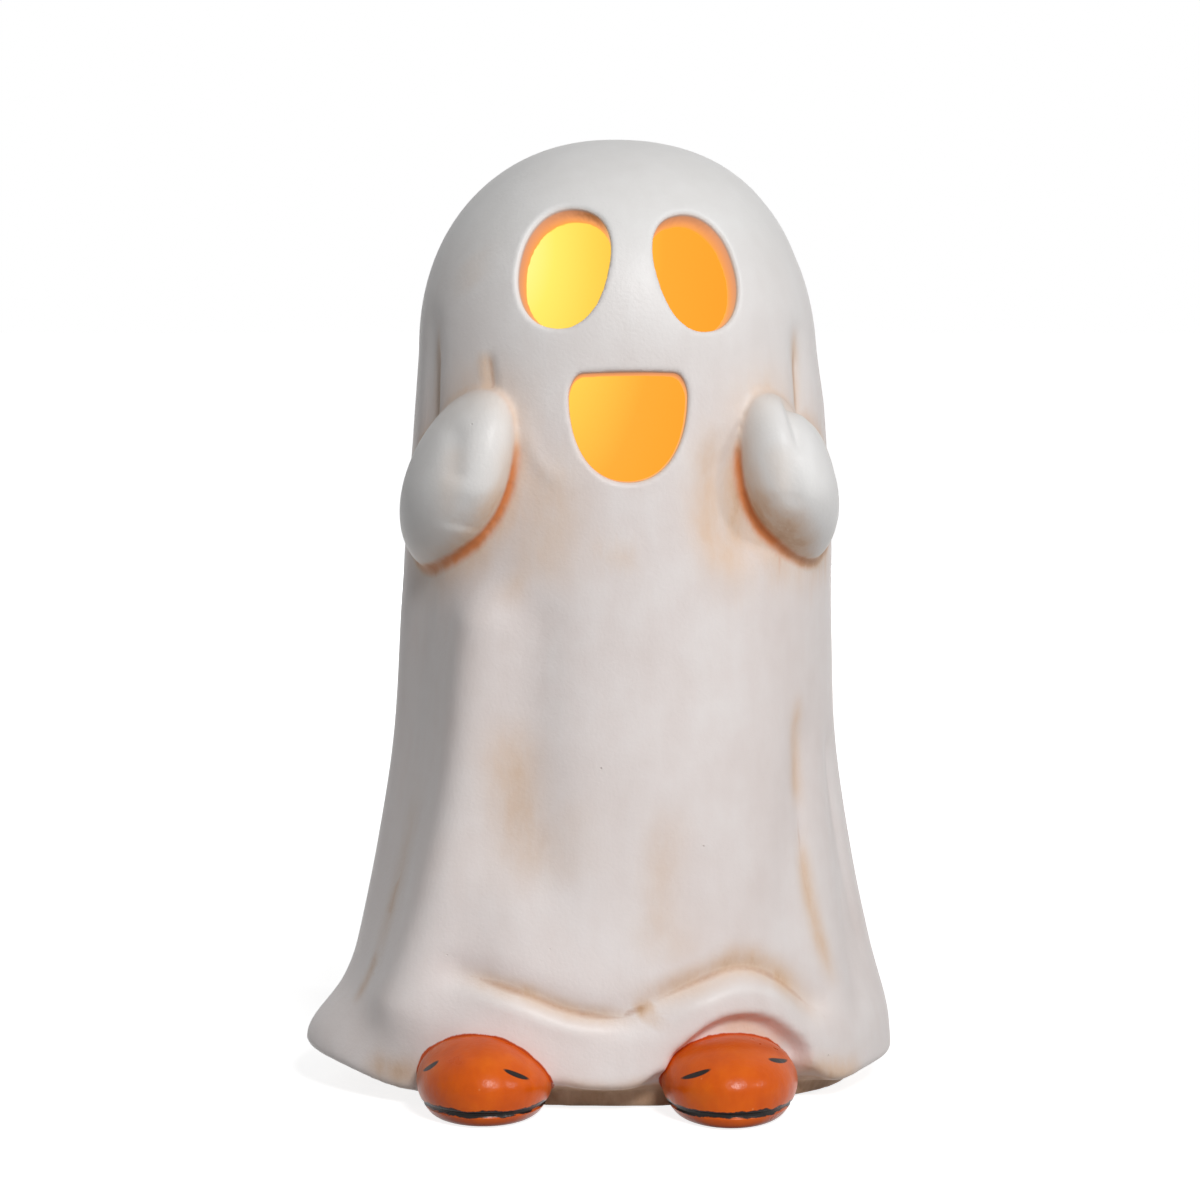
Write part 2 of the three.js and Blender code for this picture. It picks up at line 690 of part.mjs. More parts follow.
// Cells, their contacts and the springs
function cellGeometry() {
  const half = cell.length / 2;
  const shoulder = half - cell.nubLength;
  const profile = [
    [0, -half],
    [cell.radius, -half],
    [cell.radius, shoulder],
    [cell.nubRadius, shoulder],
    [cell.nubRadius, half],
    [0, half],
  ];
  return turned(profile, 16).rotateY(Math.PI / 2);
}

function contactPlate(along) {
  const left = bayRight - contact.thickness;
  const wide = contact.halfWidth;
  const narrow = contact.tailHalfWidth;
  const bottom = cellHeight - contact.halfHeight;
  const top = cellHeight + contact.halfHeight;
  return geometryOf(joined(
    block(left, bayRight, along - wide, along + wide, bottom, top),
    block(left, bayRight, along - narrow, along + narrow, top - past, boardBottom - clearance),
  ));
}

function bridgePlate() {
  const right = bayLeft + contact.thickness;
  const front = frontBay - contact.halfWidth;
  const back = backBay + contact.halfWidth;
  return block(bayLeft, right, front, back, cellHeight - contact.halfHeight, cellHeight + contact.halfHeight);
}

class Coil extends THREE.Curve {
  getPoint(share) {
    const turn = share * springWire.turns * Math.PI * 2;
    const radius = THREE.MathUtils.lerp(springWire.coilRadius, springWire.tipRadius, share);
    return new THREE.Vector3(share * springLength, radius * Math.cos(turn), radius * Math.sin(turn));
  }
}

function tube(curve, radius, steps, sides) {
  const corners = [];
  for (let side = 0; side < sides; side += 1) {
    const turn = (side / sides) * Math.PI * 2;
    corners.push(new THREE.Vector2(radius * Math.cos(turn), radius * Math.sin(turn)));
  }
  const options = { steps, extrudePath: curve, bevelEnabled: false };
  return new THREE.ExtrudeGeometry(new THREE.Shape(corners), options);
}

function springGeometry() {
  const steps = Math.round(springWire.turns * springStepsPerTurn);
  return tube(new Coil(), springWire.radius, steps, 5);
}

// Least gap between one turn of a spring and the next
function springGap() {
  const points = new Coil().getPoints(240);
  const halfTurn = Math.floor(points.length / springWire.turns / 2);
  let least = Infinity;
  points.forEach((point, index) => {
    for (const other of points.slice(index + halfTurn)) least = Math.min(least, point.distanceTo(other));
  });
  return least - springWire.radius * 2;
}
console.log(`least gap between spring turns ${springGap().toFixed(2)} mm`);

function switchWire(side) {
  const across = side * wire.pitch / 2;
  const middle = (switchTop + boardBottom) / 2;
  const route = [
    new THREE.Vector3(across, switchAcross, switchTop + wire.endGap),
    new THREE.Vector3(across + side * wire.bow, switchAcross - wire.drift / 2, middle),
    new THREE.Vector3(across, switchAcross - wire.drift, boardBottom - wire.endGap),
  ];
  return tube(new THREE.CatmullRomCurve3(route), wire.radius, 8, 8);
}

// Slide switch
function switchCase() {
  const roomLength = sliderFoot.halfLength + switchTravel / 2 + knobClearance;
  const roomWidth = sliderFoot.halfWidth + knobClearance;
  const body = switchOpening(switchBox.halfLength, switchBox.halfWidth, flangeTop, switchTop);
  const room = switchOpening(roomLength, roomWidth, flangeTop - past, sliderFootTop + clearance);
  return geometryOf(solid(body).subtract(solid(room)));
}

function switchSlider() {
  const { halfLength, halfWidth } = sliderFoot;
  const tip = undersideHeight + knob.inset;
  return geometryOf(joined(
    block(-knob.halfLength, knob.halfLength, -knob.halfWidth, knob.halfWidth, tip, sliderFootTop - clearance),
    block(-halfLength, halfLength, -halfWidth, halfWidth, sliderFootBottom, sliderFootTop),
  ));
}

// Circuit board, lamp, cover and diffuser
function boardGeometry() {
  const { halfWidth } = board;
  return block(-boardHalfLength, boardHalfLength, -halfWidth, halfWidth, boardBottom, boardTop);
}

function chipGeometry() {
  const { halfLength, halfWidth, height } = chip;
  return block(-halfLength, halfLength, -halfWidth, halfWidth, 0, height);
}

function lampGeometry() {
  const rim = [lamp.rimRadius, lamp.rimHeight];
  const profile = [[0, 0], [lamp.rimRadius, 0], rim, [lamp.radius, lamp.rimHeight]];
  const shoulder = lamp.lensHeight - lamp.radius;
  const steps = 4;
  for (let step = 0; step < steps; step += 1) {
    const turn = (step / steps) * Math.PI / 2;
    profile.push([lamp.radius * Math.cos(turn), shoulder + lamp.radius * Math.sin(turn)]);
  }
  profile.push([0, lamp.lensHeight]);
  const legs = pair((side) => {
    const middle = side * lampLeg.pitch / 2;
    const half = lampLeg.halfWidth;
    return block(middle - half, middle + half, -half, half, -lampLeg.length, lamp.rimHeight / 2);
  });
  return geometryOf(joined(turned(profile, 14), ...legs));
}

function lampCover() {
  const { wall: side, cornerRadius, lampHole } = cover;
  const ears = pair((end) => block(
    end * earMiddle - ear.halfLength,
    end * earMiddle + ear.halfLength,
    ear.along - ear.halfWidth,
    ear.along + ear.halfWidth,
    boxTop,
    earTop,
  ));
  const body = joined(plate(coverHalfLength, coverHalfWidth, cornerRadius, boxTop, coverTop), ...ears);
  const hole = coverScrew.shankRadius + screwClearance;
  const cuts = [
    plate(coverHalfLength - side, coverHalfWidth - side, cornerRadius - side, boxTop - past, coverTop - side),
    rod(lampHole, boxTop, coverTop + past, 16),
    ...pair((end) => drilled(hole, end * earMiddle, ear.along, boxTop - past, earTop + past)),
  ];
  return geometryOf(cuts.reduce((rest, cut) => rest.subtract(solid(cut)), body));
}

function coverScrewGeometry() {
  const { headRadius, headHeight, shankRadius, grip } = coverScrew;
  const head = rod(headRadius, earTop, earTop + headHeight, 14);
  const shank = rod(shankRadius, boxTop - grip + clearance, earTop + headHeight / 2);
  return geometryOf(joined(head, shank));
}

function domeProfile(radius, height, steps) {
  const points = [];
  for (let step = 0; step < steps; step += 1) {
    const turn = (step / steps) * Math.PI / 2;
    const out = radius * Math.cos(turn) ** (2 / diffuser.roundness);
    points.push([out, height * Math.sin(turn) ** (2 / diffuser.roundness)]);
  }
  return [...points, [0, height]];
}

function diffuserGeometry() {
  const outer = domeProfile(diffuser.radius, diffuser.height, 7);
  const inner = domeProfile(diffuser.radius - diffuser.wall, diffuser.height - diffuser.wall, 6);
  return turned([...inner.reverse(), ...outer], 24);
}

// Assembly
function part(name, geometry, material, place = [0, 0, 0]) {
  const mesh = new THREE.Mesh(geometry, material);
  mesh.name = name;
  mesh.position.set(...place);
  return mesh;
}

function turnedRound(mesh) {
  mesh.rotation.z = Math.PI;
  return mesh;
}

function castFigure() {
  const figure = new THREE.Group();
  const skin = sheetSolid(-clearance);
  const luted = (body) => geometryOf(body.subtract(skin));
  figure.add(
    part('ghost_shell', ghostShell(), whiteGlaze),
    part('left_arm', luted(handSolid(leftHand)), whiteGlaze),
    part('right_arm', luted(handSolid(rightHand)), whiteGlaze),
    part('left_shoe', luted(shoeSolid(shoeAcross[0])), orangePaint),
    part('right_shoe', luted(shoeSolid(shoeAcross[1])), orangePaint),
  );
  return figure;
}

function batteryBox() {
  const group = new THREE.Group();
  const cellEnd = contact.thickness + clearance + cell.length / 2;
  const springEnd = contact.thickness + springWire.radius + springWire.endGap;
  group.add(
    part('light_housing', lightHousing(), whitePlastic),
    part('foam_seal', foamSeal(), foam),
    part('battery_door', batteryDoor(), doorPlastic),
    part('door_screw', doorScrewGeometry(), nickel, [screwAcross, screwAlong, 0]),
    part('battery_1', cellGeometry(), cellSleeve, [bayRight - cellEnd, frontBay, cellHeight]),
    turnedRound(part('battery_2', cellGeometry(), cellSleeve, [bayLeft + cellEnd, backBay, cellHeight])),
    part('spring_1', springGeometry(), springSteel, [bayLeft + springEnd, frontBay, cellHeight]),
    turnedRound(part('spring_2', springGeometry(), springSteel, [bayRight - springEnd, backBay, cellHeight])),
    part('bridge_plate', bridgePlate(), nickel),
    part('positive_terminal', contactPlate(frontBay), nickel),
    part('negative_terminal', contactPlate(backBay), nickel),
    part('switch_case', switchCase(), nickel),
    part('switch_slider', switchSlider(), blackPlastic, [switchTravel / 2, switchAcross, 0]),
    part('switch_wire_1', switchWire(-1), redWire),
    part('switch_wire_2', switchWire(1), blackPlastic),
  );
  return group;
}

function lampUnit() {
  const group = new THREE.Group();
  const { halfLength } = resistor;
  const resistorBody = rod(resistor.radius, -halfLength, halfLength, 10).rotateY(Math.PI / 2);
  const capacitorBody = rod(capacitor.radius, 0, capacitor.height, 14);
  const resistorPlace = [resistor.across, resistor.along, boardTop + resistor.radius];
  group.add(
    part('circuit_board', boardGeometry(), boardGreen),
    part('led_lamp', lampGeometry(), resin, [0, 0, boardTop + lampLeg.length]),
    part('timer_chip', chipGeometry(), blackPlastic, [chip.across, chip.along, boardTop]),
    part('resistor', resistorBody, componentBeige, resistorPlace),
    part('capacitor', capacitorBody, blackPlastic, [capacitor.across, capacitor.along, boardTop]),
    part('lamp_cover', lampCover(), whitePlastic),
    part('cover_screw_left', coverScrewGeometry(), nickel, [-earMiddle, ear.along, 0]),
    part('cover_screw_right', coverScrewGeometry(), nickel, [earMiddle, ear.along, 0]),
    part('diffuser_dome', diffuserGeometry(), frosted, [0, 0, coverTop]),
  );
  return group;
}

// The figure stands with the middle of its outline over the origin
const figurine = new THREE.Group();
figurine.add(castFigure(), batteryBox(), lampUnit());
const extent = new THREE.Box3().setFromObject(figurine);
figurine.position.set(-(extent.min.x + extent.max.x) / 2, -(extent.min.y + extent.max.y) / 2, 0);

export default figurine;
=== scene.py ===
# A light-up ghost figurine: a cast and painted ceramic ghost under a sheet, with cut-out eyes and
# mouth, raised hands and orange shoes, and a battery light unit in its base.
import json
import math

import bmesh
import bpy
import numpy as np
from mathutils import Matrix, Vector
from mathutils.bvhtree import BVHTree


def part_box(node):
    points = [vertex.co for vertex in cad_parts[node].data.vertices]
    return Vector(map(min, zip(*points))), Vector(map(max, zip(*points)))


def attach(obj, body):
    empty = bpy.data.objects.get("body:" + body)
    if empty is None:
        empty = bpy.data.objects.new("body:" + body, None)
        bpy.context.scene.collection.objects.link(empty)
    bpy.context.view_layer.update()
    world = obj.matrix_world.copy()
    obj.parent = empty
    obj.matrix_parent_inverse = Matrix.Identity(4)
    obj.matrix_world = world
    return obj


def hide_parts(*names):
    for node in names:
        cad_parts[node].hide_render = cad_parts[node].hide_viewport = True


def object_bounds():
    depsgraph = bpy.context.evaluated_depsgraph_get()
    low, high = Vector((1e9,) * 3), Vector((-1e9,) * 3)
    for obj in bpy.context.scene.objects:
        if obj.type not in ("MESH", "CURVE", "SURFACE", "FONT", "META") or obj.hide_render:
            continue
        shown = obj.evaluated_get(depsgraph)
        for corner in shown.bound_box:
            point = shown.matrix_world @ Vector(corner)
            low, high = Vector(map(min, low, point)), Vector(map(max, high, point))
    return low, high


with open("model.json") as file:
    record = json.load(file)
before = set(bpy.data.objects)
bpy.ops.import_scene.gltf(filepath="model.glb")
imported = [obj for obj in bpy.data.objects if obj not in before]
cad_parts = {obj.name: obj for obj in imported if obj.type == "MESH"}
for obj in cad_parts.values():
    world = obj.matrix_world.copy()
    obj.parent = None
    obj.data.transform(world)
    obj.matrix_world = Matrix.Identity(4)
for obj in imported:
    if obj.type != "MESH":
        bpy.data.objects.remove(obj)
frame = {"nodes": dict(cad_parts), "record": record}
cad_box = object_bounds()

scene = bpy.context.scene
MM = 0.001

# The ghost's upright axis runs through the middle of the foam ring in its base
foam_low, foam_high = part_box("foam_seal")
AXIS = Vector(((foam_low[0] + foam_high[0]) / 2, (foam_low[1] + foam_high[1]) / 2, 0))

# Sheet, in millimetres from its axis: height, half-width across and half-depth front to back
FIGURE_HEIGHT = 180
TEMPLE = 140
CROWN_RISE = FIGURE_HEIGHT - TEMPLE
CROWN_ROUNDNESS = 2.15
SQUARENESS = 2.12
STATIONS = np.array([
    (6.4, 53.4, 41.5),
    (14, 52.6, 41.2),
    (26, 49.4, 40.2),
    (45, 45.4, 39.4),
    (66, 42.3, 38.8),
    (92, 41, 37.6),
    (118, 39.7, 36.4),
    (TEMPLE, 38.1, 35.8),
])
HEM = STATIONS[0][0]
HEM_ROLL = 1.8
FOOT = (45.5, 33)
FOOT_TOP = 3.2
FOOT_FLARE = 0.8
WALL = 4.2
FLOOR_TOP = 9.4
HEM_THICKENING = 9
HEM_THICKENING_TOP = 38
CORNER = dict(bearing=-82, spread=26, flare=6.2, lift=1.8, fade=8.5)

# Folds as strokes on the skin: places as bearing in degrees from the front and height, then the
# depth, which is a valley where positive, and the width
FOLD_RADIUS = 42
FOLDS = (
    ([(-67, 96), (-68, 70), (-72, 44), (-80, 20)], 2.0, 9),
    ([(-38, 90), (-39.5, 80), (-42, 60), (-46, 40), (-53, 20)], -3.7, 6.8),
    ([(-43, 40), (-48, 22)], -1.0, 12),
    ([(-22, 90), (-22, 66), (-19, 44)], 0.8, 6),
    ([(-30, 40), (-27, 26)], -0.9, 8),
    ([(57, 68), (48, 36), (53, 20)], 0.8, 4.5),
    ([(75, 64), (69, 18)], 1.2, 4),
    ([(-67, 144), (-64, 120)], 1.1, 4),
    ([(65, 142), (63, 122)], 1.1, 4),
    ([(-39, 26), (-25, 23.4), (-10, 19.2), (4, 19), (21, 24), (32, 27), (42, 25), (52, 19)], 1.2, 3.2),
    ([(-33, 15), (-29, 15)], -1.6, 9),
    ([(27, 17), (34, 17)], -1.6, 9),
    ([(-104, 78), (-106, 40), (-112, 12)], 1.5, 7),
    ([(-126, 84), (-127, 40), (-132, 8)], -1.5, 9),
    ([(-150, 104), (-147, 48), (-151, 8)], 2.0, 8),
    ([(-171, 70), (-170, 8)], -1.5, 9),
    ([(168, 92), (171, 44), (167, 8)], 1.9, 8.5),
    ([(149, 84), (147, 40), (149, 8)], -1.6, 9),
    ([(128, 100), (124, 46), (129, 8)], 1.9, 8),
    ([(104, 70), (100, 36), (102, 12)], 1.3, 7),
)
# Finer creases and ridges, pressed in after the casting is softened
CREASES = (
    ([(-63.5, 144), (-63.8, 136), (-62.2, 122)], 0.5, 1.3),
    ([(64, 142), (62, 126)], 0.5, 1.3),
    ([(-39.5, 142), (-36.6, 131)], 0.5, 1.5),
    ([(-30, 130), (-20.3, 119.7), (-12, 117.5)], -0.3, 1.8),
    ([(-42, 26.4), (-24.7, 23), (-11.6, 19.4), (2, 18.3), (9, 20.2)], 0.55, 1.4),
    ([(-42, 24), (-24.7, 20.4), (-11.6, 16.6), (4, 15.6)], -0.7, 2.2),
    ([(4, 18.6), (9.2, 20.8), (19.7, 24), (32.2, 26.8), (42, 24.8), (53, 18.5), (57, 15)], 0.65, 1.6),
    ([(8, 17.6), (19.7, 20.6), (32.2, 23.4), (42, 21.2), (50, 15)], -0.8, 2.3),
    ([(56, 76), (54.9, 57), (54.4, 42), (58.5, 24)], 0.4, 1.6),
    ([(72, 72), (74.7, 60), (75.5, 20), (76.3, 10)], 0.4, 1.6),
)
BELLY = dict(bearing=6, height=62, bulge=1.1, spread=24)
HAND_HOLLOW = dict(bearing=35.5, height=114, across=12, up=15, depth=1.6, floor=0.4, rim=1.05)
SHOE_ARCH = dict(bearing=32, height=3.2, across=13.4, up=15.2, depth=3.6, edge=0.09)
# Where the hem hangs lower, or higher where negative: bearing and spread in degrees, and drop
HEM_DROOPS = ((-52, 13, 2.4), (-16, 6, -1.1), (13, 5.5, -3.4), (49, 5, -2.6), (60, 7, 1.3))
DROOP_TOP = 17
# How far the sheet stands in or out on its left and right sides: heights and the shift at each
SIDES = (
    (-1, (8, 20, 60, 80, 105, 122, 165), (0.3, 1.0, 0.5, 0.2, -0.4, -0.85, -0.8)),
    (1, (20, 70, 90, 103, 130, 145, 158, 168, 174, 179),
     (0.3, 0.3, 0.6, 1.2, 1.2, 0.2, -0.4, 0.1, 1.0, 2.2)),
)
SIDE_SPREAD = 0.9

# Face
EYE_ROUNDNESS = 2.25
# For each cut: how far its left, right, top and bottom edges close in through the wall
LEFT_EYE = dict(bearing=-17.4, height=158.1, half_width=8.8, half_height=12.6, lean=-6,
                closing=(1.5, 0.2, 2.8, 0.4))
RIGHT_EYE = dict(bearing=27.4, height=157, half_width=8.2, half_height=12.2, lean=8,
                 closing=(0.2, 1.4, 2.4, 0.4))
MOUTH = dict(bearing=4.1, height=127.7, half_width=11.1, half_height=10.3, lean=0,
             closing=(0.3, 0.4, 1.3, 0.2))
RIM = 0.8
CUT_IN = 9
CUT_OUT = 7

# Stepped opening for the light unit: half-width, half-depth, corner radius, bottom and top
FLANGE_RECESS = (33.6, 21.6, 6.6, -1, 5.2)
BOX_OPENING = (30.3, 18.8, 3.8, 4.2, 10.4)
OPENING_CORNER_STEPS = 8

VOXEL = 0.58
SOFTENING_ROUNDS = 9
TRIANGLES = 190000


# Skin of the sheet
def station(heights, column):
    levels, values = STATIONS[:, 0], STATIONS[:, column]
    low = np.clip(np.searchsorted(levels, heights) - 1, 0, len(levels) - 2)
    high = low + 1
    before = np.maximum(low - 1, 0)
    after = np.minimum(low + 2, len(levels) - 1)
    span = levels[high] - levels[low]
    share = np.clip((heights - levels[low]) / span, 0, 1)
    start = (values[high] - values[before]) / (levels[high] - levels[before]) * span
    end = (values[after] - values[low]) / (levels[after] - levels[low]) * span
    cube, square = share ** 3, share ** 2
    return (values[low] * (2 * cube - 3 * square + 1) + start * (cube - 2 * square + share)
            + values[high] * (3 * square - 2 * cube) + end * (cube - square))


def sheet_halves(heights, inset):
    below = np.minimum(heights, TEMPLE)
    rise = np.clip((heights - TEMPLE) / (CROWN_RISE - inset), 0, 1)
    share = (1 - rise ** CROWN_ROUNDNESS) ** (1 / CROWN_ROUNDNESS)
    return (station(below, 1) - inset) * share, (station(below, 2) - inset) * share


def section_radius(bearings, half_width, half_depth):
    across = np.abs(np.sin(bearings) / np.maximum(half_width, 1e-6)) ** SQUARENESS
    along = np.abs(np.cos(bearings) / np.maximum(half_depth, 1e-6)) ** SQUARENESS
    return (across + along) ** (-1 / SQUARENESS)


PATH_STEPS = 4
PATH_END = 0.02


def rounded_path(path):
    """Rounds a stroke's corners with a Catmull-Rom curve through its points."""
    points = np.array([path[0]] + list(path) + [path[-1]], dtype=float)
    rounded = []
    for start in range(len(path) - 1):
        a, b, c, d = points[start:start + 4]
        for share in np.linspace(0, 1, PATH_STEPS, endpoint=False):
            rounded.append(b + 0.5 * share * (c - a) + share ** 2 * (a - 2.5 * b + 2 * c - 0.5 * d)
                           + 0.5 * share ** 3 * (3 * (b - c) + d - a))
    return rounded + [points[-1]]


def nearest_on_path(across, up, path):
    """Distance to a path and how far along it the nearest place is, from 0 to 1."""
    nearest = np.full(across.shape, np.inf)
    along_share = np.zeros(across.shape)
    steps = [math.hypot(b[0] - a[0], b[1] - a[1]) for a, b in zip(path, path[1:])]
    walked = 0
    for (x_a, z_a), (x_b, z_b), length in zip(path, path[1:], steps):
        share = ((across - x_a) * (x_b - x_a) + (up - z_a) * (z_b - z_a)) / length ** 2
        share = np.clip(share, 0, 1)
        away = np.hypot(across - x_a - share * (x_b - x_a), up - z_a - share * (z_b - z_a))
        closer = away < nearest
        nearest = np.where(closer, away, nearest)
        along_share = np.where(closer, (walked + share * length) / sum(steps), along_share)
        walked += length
    return nearest, along_share


def from_stroke(bearings, heights, path):
    """Distance on the skin to a path given as bearings and heights, and how far along it."""
    corners = [(math.radians(bearing) * FOLD_RADIUS, height) for bearing, height in rounded_path(path)]
    middle = sum(corner[0] for corner in corners) / len(corners)
    turn = math.tau * FOLD_RADIUS
    arcs = (bearings * FOLD_RADIUS - middle + turn / 2) % turn - turn / 2 + middle
    return nearest_on_path(arcs, heights, corners)


def smooth_step(values, low, high):
    share = np.clip((values - low) / (high - low), 0, 1)
    return share * share * (3 - 2 * share)


def tapered(along, taper):
    """1 along the middle of a stroke and 0 at its two ends."""
    return smooth_step(along, -PATH_END, taper) * (1 - smooth_step(along, 1 - taper, 1 + PATH_END))


def stroke_share(bearings, heights, path, width, taper=0.0):
    nearest, along = from_stroke(bearings, heights, path)
    share = np.exp(-(nearest / width) ** 2)
    return share * tapered(along, taper) if taper else share


def ellipse_reach(bearings, heights, spot):
    arcs = (bearings - math.radians(spot["bearing"])) * FOLD_RADIUS
    return np.hypot(arcs / spot["across"], (heights - spot["height"]) / spot["up"])


def fold_offset(bearings, heights):
    offset = np.zeros(bearings.shape)
    for path, depth, width in FOLDS:
        offset -= depth * stroke_share(bearings, heights, path, width)
    from_belly = np.hypot((bearings - math.radians(BELLY["bearing"])) * FOLD_RADIUS,
                          heights - BELLY["height"])
    offset += BELLY["bulge"] * np.exp(-(from_belly / BELLY["spread"]) ** 2)
    hollow = ellipse_reach(bearings, heights, HAND_HOLLOW)
    offset -= HAND_HOLLOW["depth"] * (1 - smooth_step(hollow, HAND_HOLLOW["floor"], HAND_HOLLOW["rim"]))
    arch = ellipse_reach(bearings, heights, SHOE_ARCH)
    edge = SHOE_ARCH["edge"]
    offset -= SHOE_ARCH["depth"] * (1 - smooth_step(arch, 1 - edge, 1 + edge / 2))
    for side, levels, shifts in SIDES:
        share = np.exp(-((bearings - side * math.pi / 2) / SIDE_SPREAD) ** 2)
        offset += share * np.interp(heights, levels, shifts)
    return offset


def skin_point(bearings, heights):
    half_width, half_depth = sheet_halves(heights, 0)
    corner = np.exp(-((bearings - math.radians(CORNER["bearing"])) / math.radians(CORNER["spread"])) ** 2)
    corner *= np.exp(-(np.maximum(heights - HEM, 0) / CORNER["fade"]) ** 2)
    crown_fade = np.minimum(half_width / STATIONS[-1][1], 1)
    offset = CORNER["flare"] * corner + fold_offset(bearings, heights) * crown_fade
    droop = sum(drop * np.exp(-((np.degrees(bearings) - middle) / spread) ** 2)
                for middle, spread, drop in HEM_DROOPS)
    droop = droop * (1 - smooth_step(heights, HEM, DROOP_TOP))
    radius = section_radius(bearings, half_width, half_depth) + offset
    return radius, heights + CORNER["lift"] * corner - droop


# Shapes turned on the axis and then pushed to their real outline
def spun_barrel(rows, segments):
    shape = bmesh.new()
    last = rows - 1
    profile = [shape.verts.new((0 if row in (0, last) else 1, 0, row)) for row in range(rows)]
    edges = [shape.edges.new(ends) for ends in zip(profile, profile[1:])]
    bmesh.ops.spin(shape, geom=profile + edges, cent=(0, 0, 0), axis=(0, 0, 1), angle=math.tau,
                   steps=segments, use_merge=True)
    bmesh.ops.remove_doubles(shape, verts=shape.verts, dist=1e-5)
    return shape


def push_rows(shape, outline):
    """Moves each row of a spun barrel: outline takes bearings and row numbers and gives radii and heights."""
    flat = np.array([vert.co for vert in shape.verts])
    bearings = np.arctan2(flat[:, 0], -flat[:, 1])
    radii, heights = outline(bearings, np.rint(flat[:, 2]).astype(int))
    radii = np.where(np.hypot(flat[:, 0], flat[:, 1]) < 0.5, 0, radii)
    placed = np.stack([radii * np.sin(bearings), -radii * np.cos(bearings), heights], axis=1)
    for vert, place in zip(shape.verts, placed):
        vert.co = place
    bmesh.ops.recalc_face_normals(shape, faces=shape.faces)


def crown_levels(rows, inset):
    turns = np.linspace(0, math.pi / 2, rows + 1)[1:]
    return TEMPLE + (CROWN_RISE - inset) * np.sin(turns)


FOOT_ROWS = 8
FOOT_WALL_ROWS = 4
ROLL_ROWS = 5
BODY_ROWS = 120
CROWN_ROWS = 48
SHEET_SEGMENTS = 300
CAVITY_BODY_ROWS = 60
CAVITY_CROWN_ROWS = 24
CAVITY_SEGMENTS = 120


def sheet_shape():
    skin_levels = np.concatenate([np.linspace(HEM, TEMPLE, BODY_ROWS), crown_levels(CROWN_ROWS, 0)])
    first_skin = FOOT_ROWS + ROLL_ROWS
    under_rows = FOOT_ROWS - FOOT_WALL_ROWS

    def outline(bearings, row):
        radii, heights = skin_point(bearings, skin_levels[np.clip(row - first_skin, 0, None)])
        foot_radii = section_radius(bearings, *FOOT)
        inner_share = np.clip(row / under_rows, 0, 1)
        wall_share = np.clip((row - under_rows) / (FOOT_WALL_ROWS - 1), 0, 1)
        on_foot = row < FOOT_ROWS
        turn = np.clip(row - FOOT_ROWS, 0, None) / ROLL_ROWS * math.pi / 2
        roll_radii = radii - HEM_ROLL * (1 - np.sin(turn))
        roll_heights = heights - HEM_ROLL * np.cos(turn)
        radii = np.where(row < first_skin, roll_radii, radii)
        heights = np.where(row < first_skin, roll_heights, heights)
        radii = np.where(on_foot, foot_radii * inner_share + FOOT_FLARE * wall_share, radii)
        heights = np.where(on_foot, FOOT_TOP * wall_share, heights)
        return radii, heights

    shape = spun_barrel(first_skin + len(skin_levels), SHEET_SEGMENTS)
    push_rows(shape, outline)
    return shape


def cavity_shape():
    body = np.linspace(FLOOR_TOP, TEMPLE, CAVITY_BODY_ROWS)
    levels = np.concatenate([[FLOOR_TOP], body, crown_levels(CAVITY_CROWN_ROWS, WALL)])

    def outline(bearings, row):
        heights = levels[row]
        half_width, half_depth = sheet_halves(heights, WALL)
        thickening = HEM_THICKENING * (1 - smooth_step(heights, FLOOR_TOP, HEM_THICKENING_TOP))
        return section_radius(bearings, half_width - thickening, half_depth - thickening), heights

    shape = spun_barrel(len(levels), CAVITY_SEGMENTS)
    push_rows(shape, outline)
    return shape


# Cut-outs
EYE_CORNERS = 120
MOUTH_CORNER_STEPS = 8
MOUTH_BOWL_STEPS = 24


def eye_outline(cut):
    corners = []
    for step in range(EYE_CORNERS):
        turn = step / EYE_CORNERS * math.tau
        reach = abs(math.cos(turn)) ** EYE_ROUNDNESS + abs(math.sin(turn)) ** EYE_ROUNDNESS
        radius = reach ** (-1 / EYE_ROUNDNESS)
        corners.append((cut["half_width"] * radius * math.cos(turn),
                        cut["half_height"] * radius * math.sin(turn)))
    return corners


def curve_points(start, control_a, control_b, end, steps):
    points = []
    for step in range(steps):
        share = step / steps
        rest = 1 - share
        weights = (rest ** 3, 3 * rest ** 2 * share, 3 * rest * share ** 2, share ** 3)
        handles = (start, control_a, control_b, end)
        points.append(tuple(sum(w * h[axis] for w, h in zip(weights, handles)) for axis in (0, 1)))
    return points


def mouth_outline(cut):
    side, top = cut["half_width"], cut["half_height"]
    corner = 2.6
    corner_pull = 0.9
    shoulder = top - 4.2
    shoulder_pull = shoulder + 1.4
    bow = top - 13.1
    chin = 7.5
    left = curve_points((corner - side, top), (corner_pull - side, top), (-side, shoulder_pull),
                        (-side, shoulder), MOUTH_CORNER_STEPS)
    lower_left = curve_points((-side, shoulder), (-side, bow), (-chin, -top), (0, -top), MOUTH_BOWL_STEPS)
    lower_right = curve_points((0, -top), (chin, -top), (side, bow), (side, shoulder), MOUTH_BOWL_STEPS)
    right = curve_points((side, shoulder), (side, shoulder_pull), (side - corner_pull, top),
                         (side - corner, top), MOUTH_CORNER_STEPS)
    return left + lower_left + lower_right + right + [(side - corner, top)]


